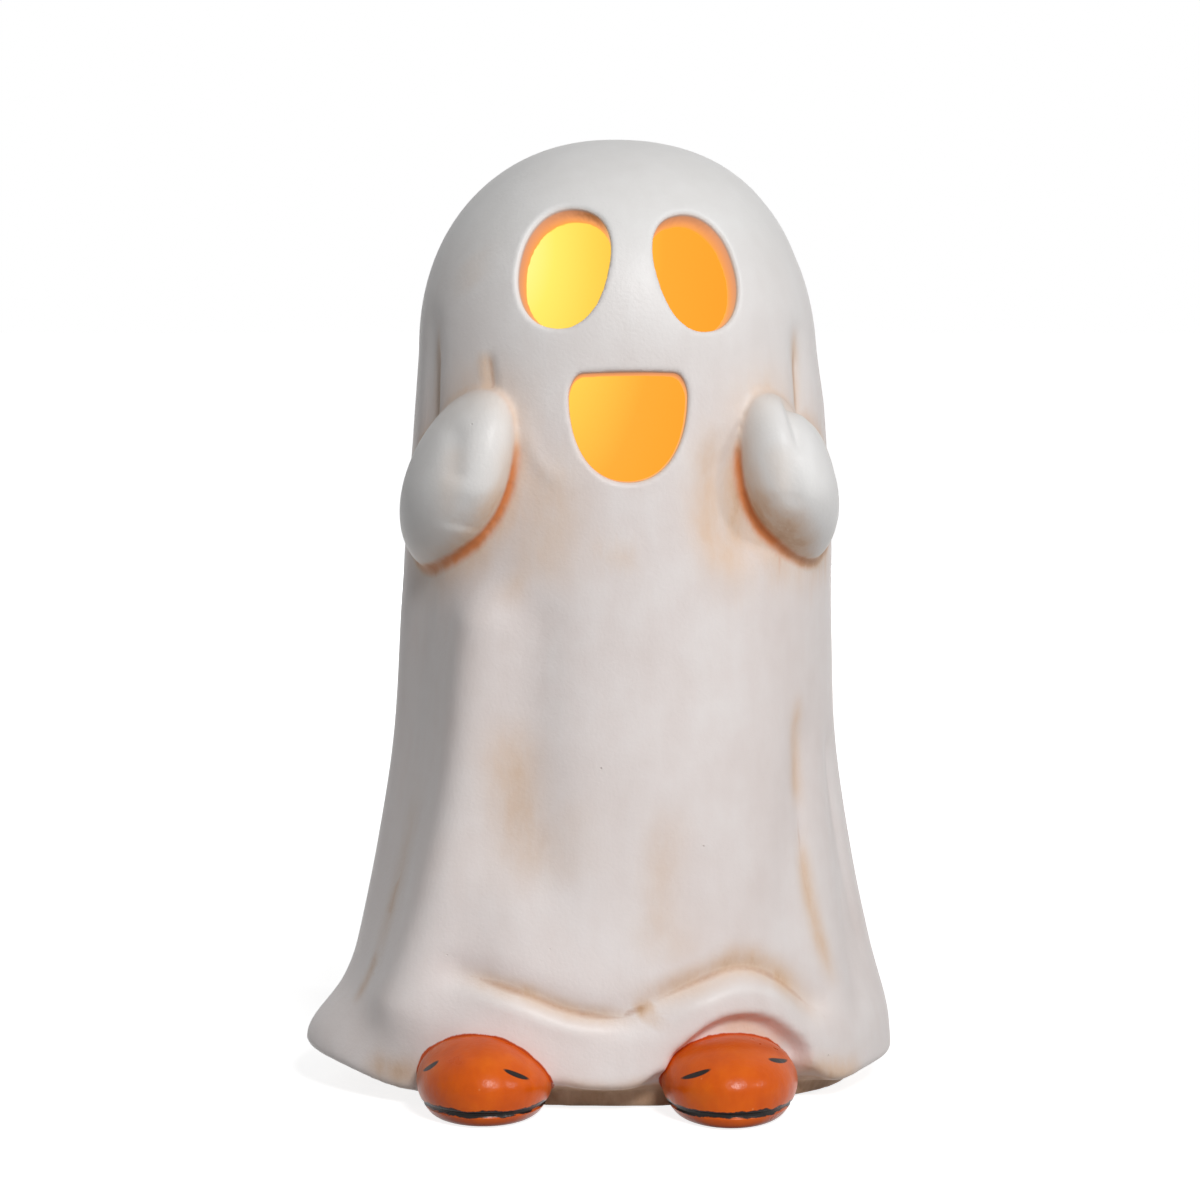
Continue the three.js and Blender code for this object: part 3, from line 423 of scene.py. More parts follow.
def cut_place(cut):
    """Turns a cut's own plane, with z outwards, to lie on the skin."""
    bearing, height = math.radians(cut["bearing"]), cut["height"]
    half_widths, half_depths = sheet_halves(np.array([height - 1, height, height + 1.0]), 0)
    yaw = math.atan(math.tan(bearing) * (half_depths[1] / half_widths[1]) ** 2)
    tilt = math.atan((half_depths[0] - half_depths[2]) / 2)
    radius, level = skin_point(np.array([bearing]), np.array([float(height)]))
    place = Vector((radius[0] * math.sin(bearing), -radius[0] * math.cos(bearing), level[0]))
    turn = Matrix.Rotation(yaw, 4, "Z") @ Matrix.Rotation(math.pi / 2 - tilt, 4, "X")
    return Matrix.Translation(place) @ turn @ Matrix.Rotation(math.radians(cut["lean"]), 4, "Z")


def face_cutter(cut, corners):
    shape = bmesh.new()
    ring = [shape.verts.new((across, up, -CUT_IN)) for across, up in corners]
    face = shape.faces.new(ring)
    grown = bmesh.ops.extrude_face_region(shape, geom=[face])
    tops = [item for item in grown["geom"] if isinstance(item, bmesh.types.BMVert)]
    bmesh.ops.translate(shape, verts=tops, vec=(0, 0, CUT_IN + CUT_OUT))
    left, right, top, bottom = cut["closing"]
    for vert in shape.verts:
        inwards = -vert.co.z / WALL
        share_x = vert.co.x / cut["half_width"]
        share_y = vert.co.y / cut["half_height"]
        vert.co.x += inwards * (left * (1 - share_x) - right * (1 + share_x)) / 2
        vert.co.y += inwards * (bottom * (1 - share_y) - top * (1 + share_y)) / 2
    bmesh.ops.transform(shape, matrix=cut_place(cut), verts=shape.verts)
    bmesh.ops.recalc_face_normals(shape, faces=shape.faces)
    return shape


def face_cutters():
    eyes = [face_cutter(eye, eye_outline(eye)) for eye in (LEFT_EYE, RIGHT_EYE)]
    return eyes + [face_cutter(MOUTH, mouth_outline(MOUTH))]


def rounded_block(half_x, half_y, radius, bottom, top):
    shape = bmesh.new()
    bmesh.ops.create_cube(shape, size=1)
    bmesh.ops.scale(shape, verts=shape.verts, vec=(half_x * 2, half_y * 2, top - bottom))
    bmesh.ops.translate(shape, verts=shape.verts, vec=(0, 0, (top + bottom) / 2))
    uprights = [edge for edge in shape.edges
                if abs(edge.verts[0].co.z - edge.verts[1].co.z) > (top - bottom) / 2]
    bmesh.ops.bevel(shape, geom=uprights, offset=radius, segments=OPENING_CORNER_STEPS, profile=0.5,
                    affect="EDGES", material=-1)
    return shape


# Hands, each an egg with a flattened front, bent along its middle line, whose lower part recedes
HAND_SEGMENTS = 72
HAND_RINGS = 56
HAND_FLATNESS = 2.15
RECEDING_FROM = 0.02
RECEDING_CURVE = 1.5


def hand_shape(middle, half_sizes, bend, narrowing, forward_tilt, receding, turn=0):
    shape = bmesh.new()
    bmesh.ops.create_uvsphere(shape, u_segments=HAND_SEGMENTS, v_segments=HAND_RINGS, radius=1)
    for vert in shape.verts:
        across, forward, climb = vert.co
        edge = min(math.hypot(across, climb), 1)
        forward = math.copysign((1 - edge ** HAND_FLATNESS) ** (1 / HAND_FLATNESS), forward)
        girth = 1 - narrowing * climb
        under = max(-climb - RECEDING_FROM, 0) ** RECEDING_CURVE
        vert.co = (middle[0] + half_sizes[0] * girth * across + bend[0] * climb + bend[1] * climb ** 2,
                   middle[1] + half_sizes[1] * girth * forward
                   - forward_tilt * climb + receding * under - turn * across,
                   middle[2] + half_sizes[2] * climb)
    bmesh.ops.recalc_face_normals(shape, faces=shape.faces)
    return shape


# Each hand and the forearm behind it: middle, half-sizes, bend, narrowing, tilt, receding and turn
LEFT_HAND = (
    ((-29.5, -26, 116.9), (9.9, 11.8, 17.8), (4.9, 1.1), 0, 1.2, 10.5, 4.4),
    ((-33.5, -17.5, 113.4), (6.3, 10.5, 13.6), (1.5, 0), 0, 0, 4),
)
RIGHT_HAND = (
    ((32.3, -25.4, 116.7), (9.1, 12, 16.8), (-3.2, -1.3), 0.03, 1.2, 11, 0.8),
    ((35.7, -16.5, 115), (6.2, 11, 13.4), (-1.4, 0), 0.05, 0, 4),
)


# Dents pressed into the hands: places across and up, depth and width
HAND_DENTS = (
    ([(31.5, 138), (32.3, 133.1), (34, 126.5), (34.6, 122)], 1.5, 1.3),
    ([(33.4, 122), (32.6, 117), (32.2, 112)], 0.45, 2.2),
    ([(-29.4, 126), (-29.6, 117)], 0.5, 2.2),
    ([(-28, 113), (-29, 108)], 0.4, 3),
)


# Casting: the sheet and the hands as one body, cut open and softened
def object_from(name, shape):
    mesh = bpy.data.meshes.new(name)
    shape.to_mesh(mesh)
    shape.free()
    made = bpy.data.objects.new(name, mesh)
    scene.collection.objects.link(made)
    return made


def applied(made):
    graph = bpy.context.evaluated_depsgraph_get()
    mesh = bpy.data.meshes.new_from_object(made.evaluated_get(graph))
    made.modifiers.clear()
    made.data = mesh


def combine(base, helpers):
    for name, shape, operation in helpers:
        helper = object_from(name, shape)
        step = base.modifiers.new(name, "BOOLEAN")
        step.object = helper
        step.operation = operation
        step.solver = "MANIFOLD"
    applied(base)
    for name, _, _ in helpers:
        bpy.data.objects.remove(bpy.data.objects[name])


def at_vertices(mesh, kind):
    flat = np.empty(len(mesh.vertices) * 3)
    mesh.vertices.foreach_get(kind, flat)
    return flat.reshape(-1, 3)


def set_coordinates(mesh, places):
    mesh.vertices.foreach_set("co", places.ravel())
    mesh.update()


def distances(tree, places, reach):
    """Signed distance of each place from a closed surface, negative inside, as far as reach."""
    result = np.full(len(places), float(reach))
    for index, place in enumerate(places):
        spot, normal, _, away = tree.find_nearest(place)
        side = (Vector(place) - spot).dot(normal)
        result[index] = away if side >= 0 else -away
    return result


def near(places, shape, margin):
    flat = np.array([vert.co for vert in shape.verts])
    return np.all((places > flat.min(axis=0) - margin) & (places < flat.max(axis=0) + margin), axis=1)


def keep_value(mesh, name, values):
    mesh.attributes.new(name, "FLOAT", "POINT").data.foreach_set("value", values.astype(np.float32))


# Soft brown stain brushed into the creases, with painted shade round the hands, above the hem's crease
# and under the hem: places, width and strength
STAINS_AND_SHADE = (
    ([(-63.5, 148), (-63.9, 136), (-62.2, 122)], 2, 0.3),
    ([(-52, 160), (-46, 152)], 5, 0.07),
    ([(-41, 142), (-38.6, 131)], 2.4, 0.42),
    ([(64, 146), (62, 126)], 2, 0.42),
    # Beside the left hand: peach wash with painted shade
    ([(-24, 126), (-20, 112), (-23, 96)], 8, 0.24),
    ([(-24, 112), (-26, 101), (-34, 94)], 3, 0.2),
    # Painted shade, with a brown wash, in the hollow beside the right hand where its shadow falls
    ([(33, 131), (28, 117), (31, 105), (45, 97)], 5, 0.34),
    ([(39, 127), (36.5, 117), (37.5, 108), (42, 101)], 4.5, 0.42),
    ([(38, 133), (52, 134)], 2.5, 0.3),
    ([(25, 113), (27, 104)], 1.8, 0.3),
    ([(-28.5, 76), (-26.4, 60), (-20, 40)], 5, 0.32),
    ([(-22, 60), (-16, 40)], 9, 0.13),
    ([(16, 60), (12, 44), (13.1, 26)], 4, 0.17),
    ([(3, 30), (14, 34), (18, 26)], 5, 0.12),
    ([(56, 78), (55, 66), (54.6, 54)], 1.8, 0.34),
    ([(54.4, 52), (55.5, 36), (60, 20)], 1.7, 0.4),
    ([(-62, 62), (-66, 40), (-70, 20)], 3.5, 0.16),
    ([(-66, 42), (-67.5, 32)], 1.8, 0.4),
    ([(-69, 28), (-71.5, 16)], 1.8, 0.34),
    # The hem's crease: brown stain in it, and painted shade above its right part
    ([(-43, 26.6), (-24.7, 23.2), (-11.6, 19.6), (2, 18.4), (9, 20)], 1.8, 0.4),
    ([(1, 19.4), (9.2, 22), (19.7, 25), (32.2, 27.8), (42, 25.8), (52, 18.4), (57, 14.5)], 2.6, 0.42),
    ([(26, 27.6), (34, 28.6), (41, 26.8)], 2.6, 0.38),
    ([(5, 18.6), (11, 21.4)], 2, 0.45),
    ([(8, 17), (11, 20)], 2.4, 0.26),
    # Brown tone and painted shade under the hem's edge, beside and between the shoes
    ([(-62, 8), (-52, 6), (-44, 9)], 2.8, 0.36),
    ([(25, 13), (32, 16), (40, 13), (46, 8)], 2.6, 0.3),
    ([(46, 8), (55, 5.2), (67, 4.2)], 2.8, 0.44),
    ([(-18, 6), (0, 4.5), (14, 7)], 1.6, 0.4),
    ([(-11, 106), (10, 103)], 2.5, 0.14),
    ([(-104, 80), (-106, 40), (-112, 12)], 2.4, 0.42),
    ([(-151, 98), (-147, 48), (-151, 9)], 2.6, 0.36),
    ([(168, 90), (171, 44), (167, 9)], 2.6, 0.36),
    ([(128, 94), (124, 46), (129, 9)], 2.6, 0.36),
    ([(104, 72), (100, 36), (102, 12)], 2.4, 0.42),
    ([(-148, 70), (-150, 24)], 6, 0.22),
    ([(126, 66), (127, 24)], 6, 0.22),
    ([(168, 64), (170, 24)], 6, 0.2),
)
STAIN_AND_SHADE_TAPER = 0.3
# Thin brown lines left in the creases: places and how much thinner than the widest
LINES = (
    ([(-63.5, 146), (-63.9, 136), (-62.2, 124)], 0.5),
    ([(-39.6, 142), (-36.6, 132)], 0.4),
    ([(64, 144), (62, 126)], 0.45),
    ([(-42, 26.4), (-24.7, 22.9), (-11.6, 19.3), (2, 18.2), (7, 19.8)], 0.2),
    ([(5, 19), (9.2, 20.8), (19.7, 24), (32.2, 26.8), (42, 24.8), (52, 18.6), (58, 13.5)], 0.3),
    ([(2, 18.6), (9, 20.6)], 0.05),
    ([(55.2, 74), (54.9, 57), (54.4, 42), (57.7, 24)], 0.75),
    ([(-150, 80), (-147, 48), (-151, 20)], 0.6),
    ([(170, 76), (171, 44), (168, 22)], 0.6),
    ([(126, 80), (124, 46), (128, 22)], 0.6),
)


def cast_body():
    """The sheet and the hands as one closed body, cut open, with every edge softened."""
    base = object_from("ghost_sheet", sheet_shape())
    additions = [hand_shape(*form) for pair in zip(LEFT_HAND, RIGHT_HAND) for form in pair]
    cuts = (cavity_shape(), *face_cutters(), rounded_block(*FLANGE_RECESS), rounded_block(*BOX_OPENING))
    helpers = [(f"addition_{index}", shape, "UNION") for index, shape in enumerate(additions)]
    helpers += [(f"cut_{index}", shape, "DIFFERENCE") for index, shape in enumerate(cuts)]
    combine(base, helpers)
    grid = base.modifiers.new("grid", "REMESH")
    grid.mode = "VOXEL"
    grid.voxel_size = VOXEL
    soften = base.modifiers.new("soften", "SMOOTH")
    soften.factor = 0.5
    soften.iterations = SOFTENING_ROUNDS
    applied(base)
    return base


NEAR_CUT = 1.2
CAVITY_MARGIN = 0.7


def round_cuts(mesh, outer_tree):
    """Settles the face's cut walls and their rounded rims onto clean surfaces."""
    places = at_vertices(mesh, "co")
    for shape in face_cutters():
        chosen = np.nonzero(near(places, shape, NEAR_CUT))[0]
        wall_tree = BVHTree.FromBMesh(shape)
        for index in chosen:
            place = Vector(places[index])
            spot, wall_normal, _, gap = wall_tree.find_nearest(place)
            from_wall = (place - spot).dot(wall_normal)
            spot, skin_normal, _, _ = outer_tree.find_nearest(place)
            from_skin = (spot - place).dot(skin_normal)
            if gap > NEAR_CUT or from_skin > WALL - CAVITY_MARGIN:
                continue
            to_wall = max(RIM - from_wall, 0)
            to_skin = max(RIM - from_skin, 0)
            reach = math.hypot(to_wall, to_skin)
            if reach > 0:
                towards = (skin_normal * to_skin - wall_normal * to_wall) / reach
                places[index] = place + towards * (RIM - reach)
    set_coordinates(mesh, places)


# Where the skin takes creases: how near the skin, and between which heights
CREASE_REACH = 1.3
CREASE_BOTTOM = 7
CREASE_TOP = 150
CREASE_TAPER = 0.35
# Where a hand's front takes dents: about which height and how far from it, how far to the side and
# forward, and how far off the skin
HANDS_HEIGHT = 117
HANDS_REACH = 24
HANDS_INNER = 16
HANDS_FRONT = -16
HAND_PROUD = (0.5, 2.5)
LINE_TAPER = 0.3


def press_fine_lines(mesh):
    places = at_vertices(mesh, "co")
    normals = at_vertices(mesh, "normal")
    bearings = np.arctan2(places[:, 0], -places[:, 1])
    heights = places[:, 2].copy()
    reach = np.hypot(places[:, 0], places[:, 1])
    radii, _ = skin_point(bearings, heights)
    on_skin = (np.abs(radii - reach) < CREASE_REACH) & (heights > CREASE_BOTTOM) & (heights < CREASE_TOP)
    chosen = np.nonzero(on_skin)[0]
    inwards = np.zeros(len(chosen))
    for path, depth, width in CREASES:
        inwards += depth * stroke_share(bearings[chosen], heights[chosen], path, width, CREASE_TAPER)
    places[chosen, :2] *= (1 - inwards / reach[chosen])[:, None]
    front = (places[:, 1] < HANDS_FRONT) & (np.abs(heights - HANDS_HEIGHT) < HANDS_REACH)
    front &= (np.abs(places[:, 0]) > HANDS_INNER) & (reach > radii + HAND_PROUD[0])
    front = np.nonzero(front)[0]
    on_hand = smooth_step(reach[front] - radii[front], *HAND_PROUD)
    for path, depth, width in HAND_DENTS:
        away, along = nearest_on_path(places[front, 0], heights[front], path)
        lower_end = smooth_step(along, 1 - LINE_TAPER, 1 + PATH_END)
        dent = depth * on_hand * np.exp(-(away / width) ** 2) * (1 - lower_end)
        places[front] -= normals[front] * dent[:, None]
    set_coordinates(mesh, places)


def thin_out(base):
    mesh = base.data
    mesh.calc_loop_triangles()
    thinned = base.modifiers.new("thinned", "DECIMATE")
    thinned.ratio = min(1, TRIANGLES / len(mesh.loop_triangles))
    applied(base)


# Washes and painted shade round a hand: how wide, from how far off the skin, and where its inner edge
# and its lower part begin and end
CREASE_WASH = 1.5
HALO_WASH_AND_SHADE = 5
WASH_FROM = 0.3
HAND_MIDDLE = 30
HAND_INNER = (-9, 2)
HAND_LOWER = (119, 128)
# How strong each is at the least, and what the inner edge or the lower part has more
ORANGE_INNER = (0.3, 0.7)
HALO_LOWER = (0.16, 0.22)
HALO_INNER = (0.4, 0.6)
CREASE_LOWER = (0.3, 0.4)
# Painted shade under a hand, on what faces down and outwards: how much facing down and outwards
# counts, where it sets in, from how far off the skin, and its strength with what the right hand has more
FACING_DOWN = 0.85
FACING_OUT = 0.5
UNDERSIDE = (0.2, 0.95)
UNDERSIDE_FROM = 0.6
UNDERSIDE_SHADE = (0.5, 0.08)
PALM = [(29.5, 122), (31, 112)]
PALM_WIDTH = 2.6
PALM_FROM = 2
PALM_STAIN = 0.1
# The sheet round a hand, where it takes paint and painted shade, and beside a shoe, where paint ran over
ROUND_HAND = dict(across=8, height=116, reach=32, front=-5, depth=2)
BY_SHOE = dict(across=4, front=-24, bottom=2, top=24)
# How far off the skin the creases' stain and the brown lines end, then how far a line counts as
# being from what stands off the skin, from what is far away and from its own ends
STAIN_ENDS = (0.4, 1.0)
LINE_ENDS = (0.2, 0.8)
OFF_LINES = 4
NO_LINE = 5.0
LINE_THINNING = 0.9
# Brown tone and painted shade under the hem: up to which height, how far behind the hem's edge, and how
# strong
UNDER_HEM = (4.2, 6.2)
TUCKED = (0.8, 2.6)
UNDER_HEM_STAIN_AND_SHADE = 0.66
# Painted shade on the cut walls' down-facing tops: in which depths of the wall, how far down-facing,
# where it ends, where an eye has most, and its strength at the least with what is added there
CUT_DEPTHS = (0.3, 3.2)
CUT_SHADE_FACING = (0.2, 0.6)
CUT_SHADE_END = (1.6, 2.9)
CUT_SHADE_MIDDLE = -3.5
CUT_SHADE_SPREAD = 4
CUT_SHADE_SHARES = (0.3, 0.7)
EYES_FROM = 150
FACE_FROM = 108
# Below the face nothing is cut, so that what lies less deep than this is a dent
DENT_DEPTH = 3
FAR_AWAY = 9.0


def rising(share, least, more):
    return least + more * share


def hand_washes_and_shade(places, normals, proud, trees, side):
    """Orange wash in the crease under a hand; brown stains, and painted shade round and under it."""
    away = np.minimum(distances(trees[0], places, 0), distances(trees[1], places, 0))
    gap = np.hypot(np.maximum(away, 0), np.maximum(proud - WASH_FROM, 0))
    inner = smooth_step(HAND_MIDDLE - side * places[:, 0], *HAND_INNER)
    low = 1 - smooth_step(places[:, 2], *HAND_LOWER)
    in_crease = np.exp(-(gap / CREASE_WASH) ** 2)
    orange = in_crease * rising(inner, *ORANGE_INNER) * low
    # Brown wash with painted shade round the hand
    halo_wash_and_shade = np.exp(-(gap / HALO_WASH_AND_SHADE) ** 2) * rising(low, *HALO_LOWER) * rising(inner, *HALO_INNER)
    crease = in_crease * rising(low, *CREASE_LOWER)
    # Painted shade on the hand's underside, on what faces down and outwards
    turned_away = -FACING_DOWN * normals[:, 2] - FACING_OUT * side * normals[:, 0]
    underside_shade = smooth_step(turned_away, *UNDERSIDE) * (proud > UNDERSIDE_FROM)
    underside_shade = underside_shade * rising(side, *UNDERSIDE_SHADE)
    from_palm, _ = nearest_on_path(places[:, 0] * side, places[:, 2], PALM)
    palm = PALM_STAIN * np.exp(-(from_palm / PALM_WIDTH) ** 2) * (proud > PALM_FROM)
    return orange, np.maximum.reduce([halo_wash_and_shade, crease, underside_shade, palm])


def brushed_stain_and_shade(bearings, heights, proud):
    stain_and_shade = np.zeros(len(bearings))
    for path, width, strength in STAINS_AND_SHADE:
        brushed = stroke_share(bearings, heights, path, width, STAIN_AND_SHADE_TAPER)
        stain_and_shade = np.maximum(stain_and_shade, strength * brushed)
    return stain_and_shade * (1 - smooth_step(proud, *STAIN_ENDS))


# Painted shade, with a brown tone, on what lies tucked under the hem
def stain_and_shade_under_hem(places, bearings):
    heights = places[:, 2]
    skin, _ = skin_point(bearings, np.maximum(heights, HEM))
    tucked = skin - np.hypot(places[:, 0], places[:, 1])
    return UNDER_HEM_STAIN_AND_SHADE * (1 - smooth_step(heights, *UNDER_HEM)) * smooth_step(tucked, *TUCKED)


def from_lines(bearings, heights, proud):
    """Distance from the nearest brown line, more where that is thin, at its ends and on the hands."""
    nearest_line = np.full(len(bearings), NO_LINE)
    for path, thinner in LINES:
        nearest, along = from_stroke(bearings, heights, path)
        ends = 1 - tapered(along, LINE_TAPER)
        nearest_line = np.minimum(nearest_line, nearest + thinner + LINE_THINNING * ends)
    return OFF_LINES * smooth_step(proud, *LINE_ENDS) + nearest_line


def from_shoes(places):
    """Distance from a shoe in front under the hem, where its orange paint ran over."""
    away = np.full(len(places), FAR_AWAY)
    for sizes, side in zip(SHOES.values(), (-1, 1)):
        beside = (places[:, 0] * side > BY_SHOE["across"]) & (places[:, 1] < BY_SHOE["front"])
        beside &= (places[:, 2] > BY_SHOE["bottom"]) & (places[:, 2] < BY_SHOE["top"])
        chosen = np.nonzero(beside)[0]
        away[chosen] = distances(BVHTree.FromBMesh(shoe_shape(*sizes)), places[chosen], 0)
    return away


# Painted shade: darker on the cut walls' tops, which face down out of the light
def painted_shade_over_cuts(places, normals, depth):
    heights = places[:, 2]
    in_cut = (depth > CUT_DEPTHS[0]) & (depth < CUT_DEPTHS[1]) & (heights > FACE_FROM)
    painted_cut_shade = in_cut * smooth_step(-normals[:, 2], *CUT_SHADE_FACING) * (1 - smooth_step(depth, *CUT_SHADE_END))
    middle = np.exp(-((places[:, 0] - CUT_SHADE_MIDDLE) / CUT_SHADE_SPREAD) ** 2)
    return painted_cut_shade * rising(middle * (heights > EYES_FROM), *CUT_SHADE_SHARES)


def ghost_sheet():
    outer_tree = BVHTree.FromBMesh(sheet_shape())
    base = cast_body()
    round_cuts(base.data, outer_tree)
    press_fine_lines(base.data)
    thin_out(base)
    mesh = base.data
    places = at_vertices(mesh, "co")
    normals = at_vertices(mesh, "normal")
    bearings = np.arctan2(places[:, 0], -places[:, 1])
    heights = places[:, 2]
    depth = -distances(outer_tree, places, 0)
    proud = -depth
    # Brown stains and painted shade are kept together in one attribute
    stain_and_shade = np.maximum(brushed_stain_and_shade(bearings, heights, proud), stain_and_shade_under_hem(places, bearings))
    rust = np.zeros(len(places))
    # Round each hand: orange wash, brown stains and painted shade
    for forms, side in ((LEFT_HAND, -1), (RIGHT_HAND, 1)):
        trees = [BVHTree.FromBMesh(hand_shape(*form)) for form in forms]
        close = (places[:, 0] * side > ROUND_HAND["across"]) & (places[:, 1] < ROUND_HAND["front"])
        close &= (np.abs(heights - ROUND_HAND["height"]) < ROUND_HAND["reach"])
        chosen = np.nonzero(close & (depth < ROUND_HAND["depth"]))[0]
        orange, brown_and_shade = hand_washes_and_shade(places[chosen], normals[chosen], proud[chosen], trees, side)
        rust[chosen] = orange
        stain_and_shade[chosen] = np.maximum(stain_and_shade[chosen], brown_and_shade)
    painted_cut_shade = painted_shade_over_cuts(places, normals, depth)
    depth[(heights < FACE_FROM) & (depth < DENT_DEPTH) & (depth > 0)] = 0
    values = {"depth": depth, "stain_and_shade": stain_and_shade, "line": from_lines(bearings, heights, proud),
              "rust": rust, "spill": from_shoes(places), "painted_cut_shade": painted_cut_shade}
    for name, value in values.items():
        keep_value(mesh, name, value)
    return base


# Shoes: a rounded upper over a sole, with the groove between them
SHOE_SEGMENTS = 128
SHOE_RINGS = 110
SHOE_HALF_WIDTH = 12.7
SHOE_HALF_LENGTH = 16
SHOE_WIDEST = 6
SHOE_CUT = 0.72
SOLE_LIFT = 0.12
SOLE_TOP = 2.1
GROOVE_TOP = 2.95
GROOVE_DEPTH = 0.035
SOLE_SHARE = 0.77
SOLE_ROUND = 0.9
SOLE_ROUND_IN = 0.06


def shoe_shape(across, forward, rise, tip, toe_share):
    shape = bmesh.new()
    bmesh.ops.create_uvsphere(shape, u_segments=SHOE_SEGMENTS, v_segments=SHOE_RINGS, radius=1)
    bmesh.ops.bisect_plane(shape, geom=shape.verts[:] + shape.edges[:] + shape.faces[:], dist=1e-6,
                           plane_co=(0, 0, -SHOE_CUT), plane_no=(0, 0, -1), clear_outer=True)
    rim = [edge for edge in shape.edges if edge.is_boundary]
    bmesh.ops.holes_fill(shape, edges=rim, sides=0)
    for vert in shape.verts:
        x, y, z = vert.co
        level = math.hypot(x, y)
        if z < 0:
            height = max(SHOE_WIDEST * (1 + z / SHOE_CUT), SOLE_LIFT)
            under = min(max((SOLE_ROUND - height) / SOLE_ROUND, 0), 1)
            drawn_in = SOLE_ROUND_IN * (1 - math.sqrt(1 - under ** 2))
            if SOLE_TOP < height < GROOVE_TOP:
                drawn_in += GROOVE_DEPTH
            share_x = (1 - (1 - SOLE_SHARE) * (z / SHOE_CUT) ** 2 - drawn_in) / level
            share_y = (1 - (1 - toe_share) * (z / SHOE_CUT) ** 2 - drawn_in) / level
        else:
            height = SHOE_WIDEST + rise * z * (1 - tip * max(x, 0) ** 2)
            share_x = share_y = 1
        vert.co = (across + SHOE_HALF_WIDTH * x * share_x, -forward + SHOE_HALF_LENGTH * y * share_y, height)
    bmesh.ops.recalc_face_normals(shape, faces=shape.faces)
    return shape


# For each shoe: middle across and forward, rise, slope of its outer end and length of its sole
SHOES = {"left": (-24.2, 36.4, 9, 0.38, 0.91), "right": (21.4, 36.55, 8.4, 0, 1.0)}


# Helpers for the shaders
def srgb(red, green, blue):
    def linear(value):
        share = value / 255
        return share / 12.92 if share <= 0.04045 else ((share + 0.055) / 1.055) ** 2.4
    return (linear(red), linear(green), linear(blue), 1)


def fill(tree, made, links):
    """Links each socket to the node's input of that name, and sets what isn't a socket as its value."""
    for name, value in links.items():
        if isinstance(value, bpy.types.NodeSocket):
            tree.links.new(value, made.inputs[name])
        else:
            made.inputs[name].default_value = value
    return made


def add(tree, kind, links, **settings):
    made = tree.nodes.new(kind)
    for name, value in settings.items():
        setattr(made, name, value)
    return fill(tree, made, links)


def sums(tree, operation, first, second):
    return add(tree, "ShaderNodeMath", {0: first, 1: second}, operation=operation).outputs[0]


def times(tree, first, second, added=0.0):
    links = {0: first, 1: second, 2: added}
    return add(tree, "ShaderNodeMath", links, operation="MULTIPLY_ADD").outputs[0]


def between(tree, value, low, high):
    """0 at low and 1 at high, straight between them."""
    links = {"Value": value, "From Min": low, "From Max": high}
    return add(tree, "ShaderNodeMapRange", links, clamp=True).outputs["Result"]


def less(tree, value):
    return sums(tree, "SUBTRACT", 1.0, value)


def length(tree, vector):
    return add(tree, "ShaderNodeVectorMath", {0: vector}, operation="LENGTH").outputs["Value"]


def mixed(tree, share, first, second):
    return add(tree, "ShaderNodeMix", {0: share, 6: first, 7: second}, data_type="RGBA").outputs[2]


def ramp(tree, value, stops):
    """A ramp of colours: each stop is its place and its red, green and blue."""
    made = add(tree, "ShaderNodeValToRGB", {"Fac": value})
    elements = made.color_ramp.elements
    while len(elements) < len(stops):
        elements.new(0.5)
    for element, (place, *colour) in zip(elements, stops):
        element.position = place
        element.color = srgb(*colour)
    return made.outputs["Color"]


def object_places(tree):
    return tree.nodes.new("ShaderNodeTexCoord").outputs["Object"]


def moved(tree, vector, location=(0, 0, 0), rotation=(0, 0, 0), scale=(1, 1, 1)):
    links = {"Vector": vector, "Location": location, "Rotation": rotation, "Scale": scale}
    return add(tree, "ShaderNodeMapping", links).outputs["Vector"]


def noise(tree, vector, scale, detail=2.0, roughness=0.5):
    links = {"Vector": vector, "Scale": scale, "Detail": detail, "Roughness": roughness}
    return add(tree, "ShaderNodeTexNoise", links).outputs["Fac"]


def attribute(tree, name):
    made = tree.nodes.new("ShaderNodeAttribute")
    made.attribute_name = name
    return made.outputs["Fac"]


def new_group(name, inputs, outputs):
    tree = bpy.data.node_groups.new(name, "ShaderNodeTree")
    for label, kind, value in inputs:
        socket = tree.interface.new_socket(label, in_out="INPUT", socket_type=kind)
        if value is not None:
            socket.default_value = value
    for label, kind in outputs:
        tree.interface.new_socket(label, in_out="OUTPUT", socket_type=kind)
    return tree, tree.nodes.new("NodeGroupInput"), tree.nodes.new("NodeGroupOutput")


def use(tree, group, links):
    return add(tree, "ShaderNodeGroup", links, node_tree=group)


FLOAT = "NodeSocketFloat"
VECTOR = "NodeSocketVector"


def brushed_paint_group():
    """Uneven hand-brushed cover: streaks along the height over cloudy patches."""
    tree, given, result = new_group(
        "brushed paint",
        [("Vector", VECTOR, None), ("Streaks", FLOAT, 300.0), ("Patches", FLOAT, 45.0)],
        [("Cover", FLOAT), ("Height", FLOAT)],
    )
    places = given.outputs["Vector"]
    streaks = noise(tree, moved(tree, places, scale=(1, 1, 0.35)), given.outputs["Streaks"], 3)
    patches = noise(tree, places, given.outputs["Patches"], 3, 0.6)
    fine = noise(tree, places, 1500.0, 2)
    height = times(tree, streaks, 0.4, times(tree, fine, 0.45))
    fill(tree, result, {"Cover": times(tree, streaks, 0.25, times(tree, patches, 0.75)),
                        "Height": times(tree, patches, 2.5, height)})
    return tree


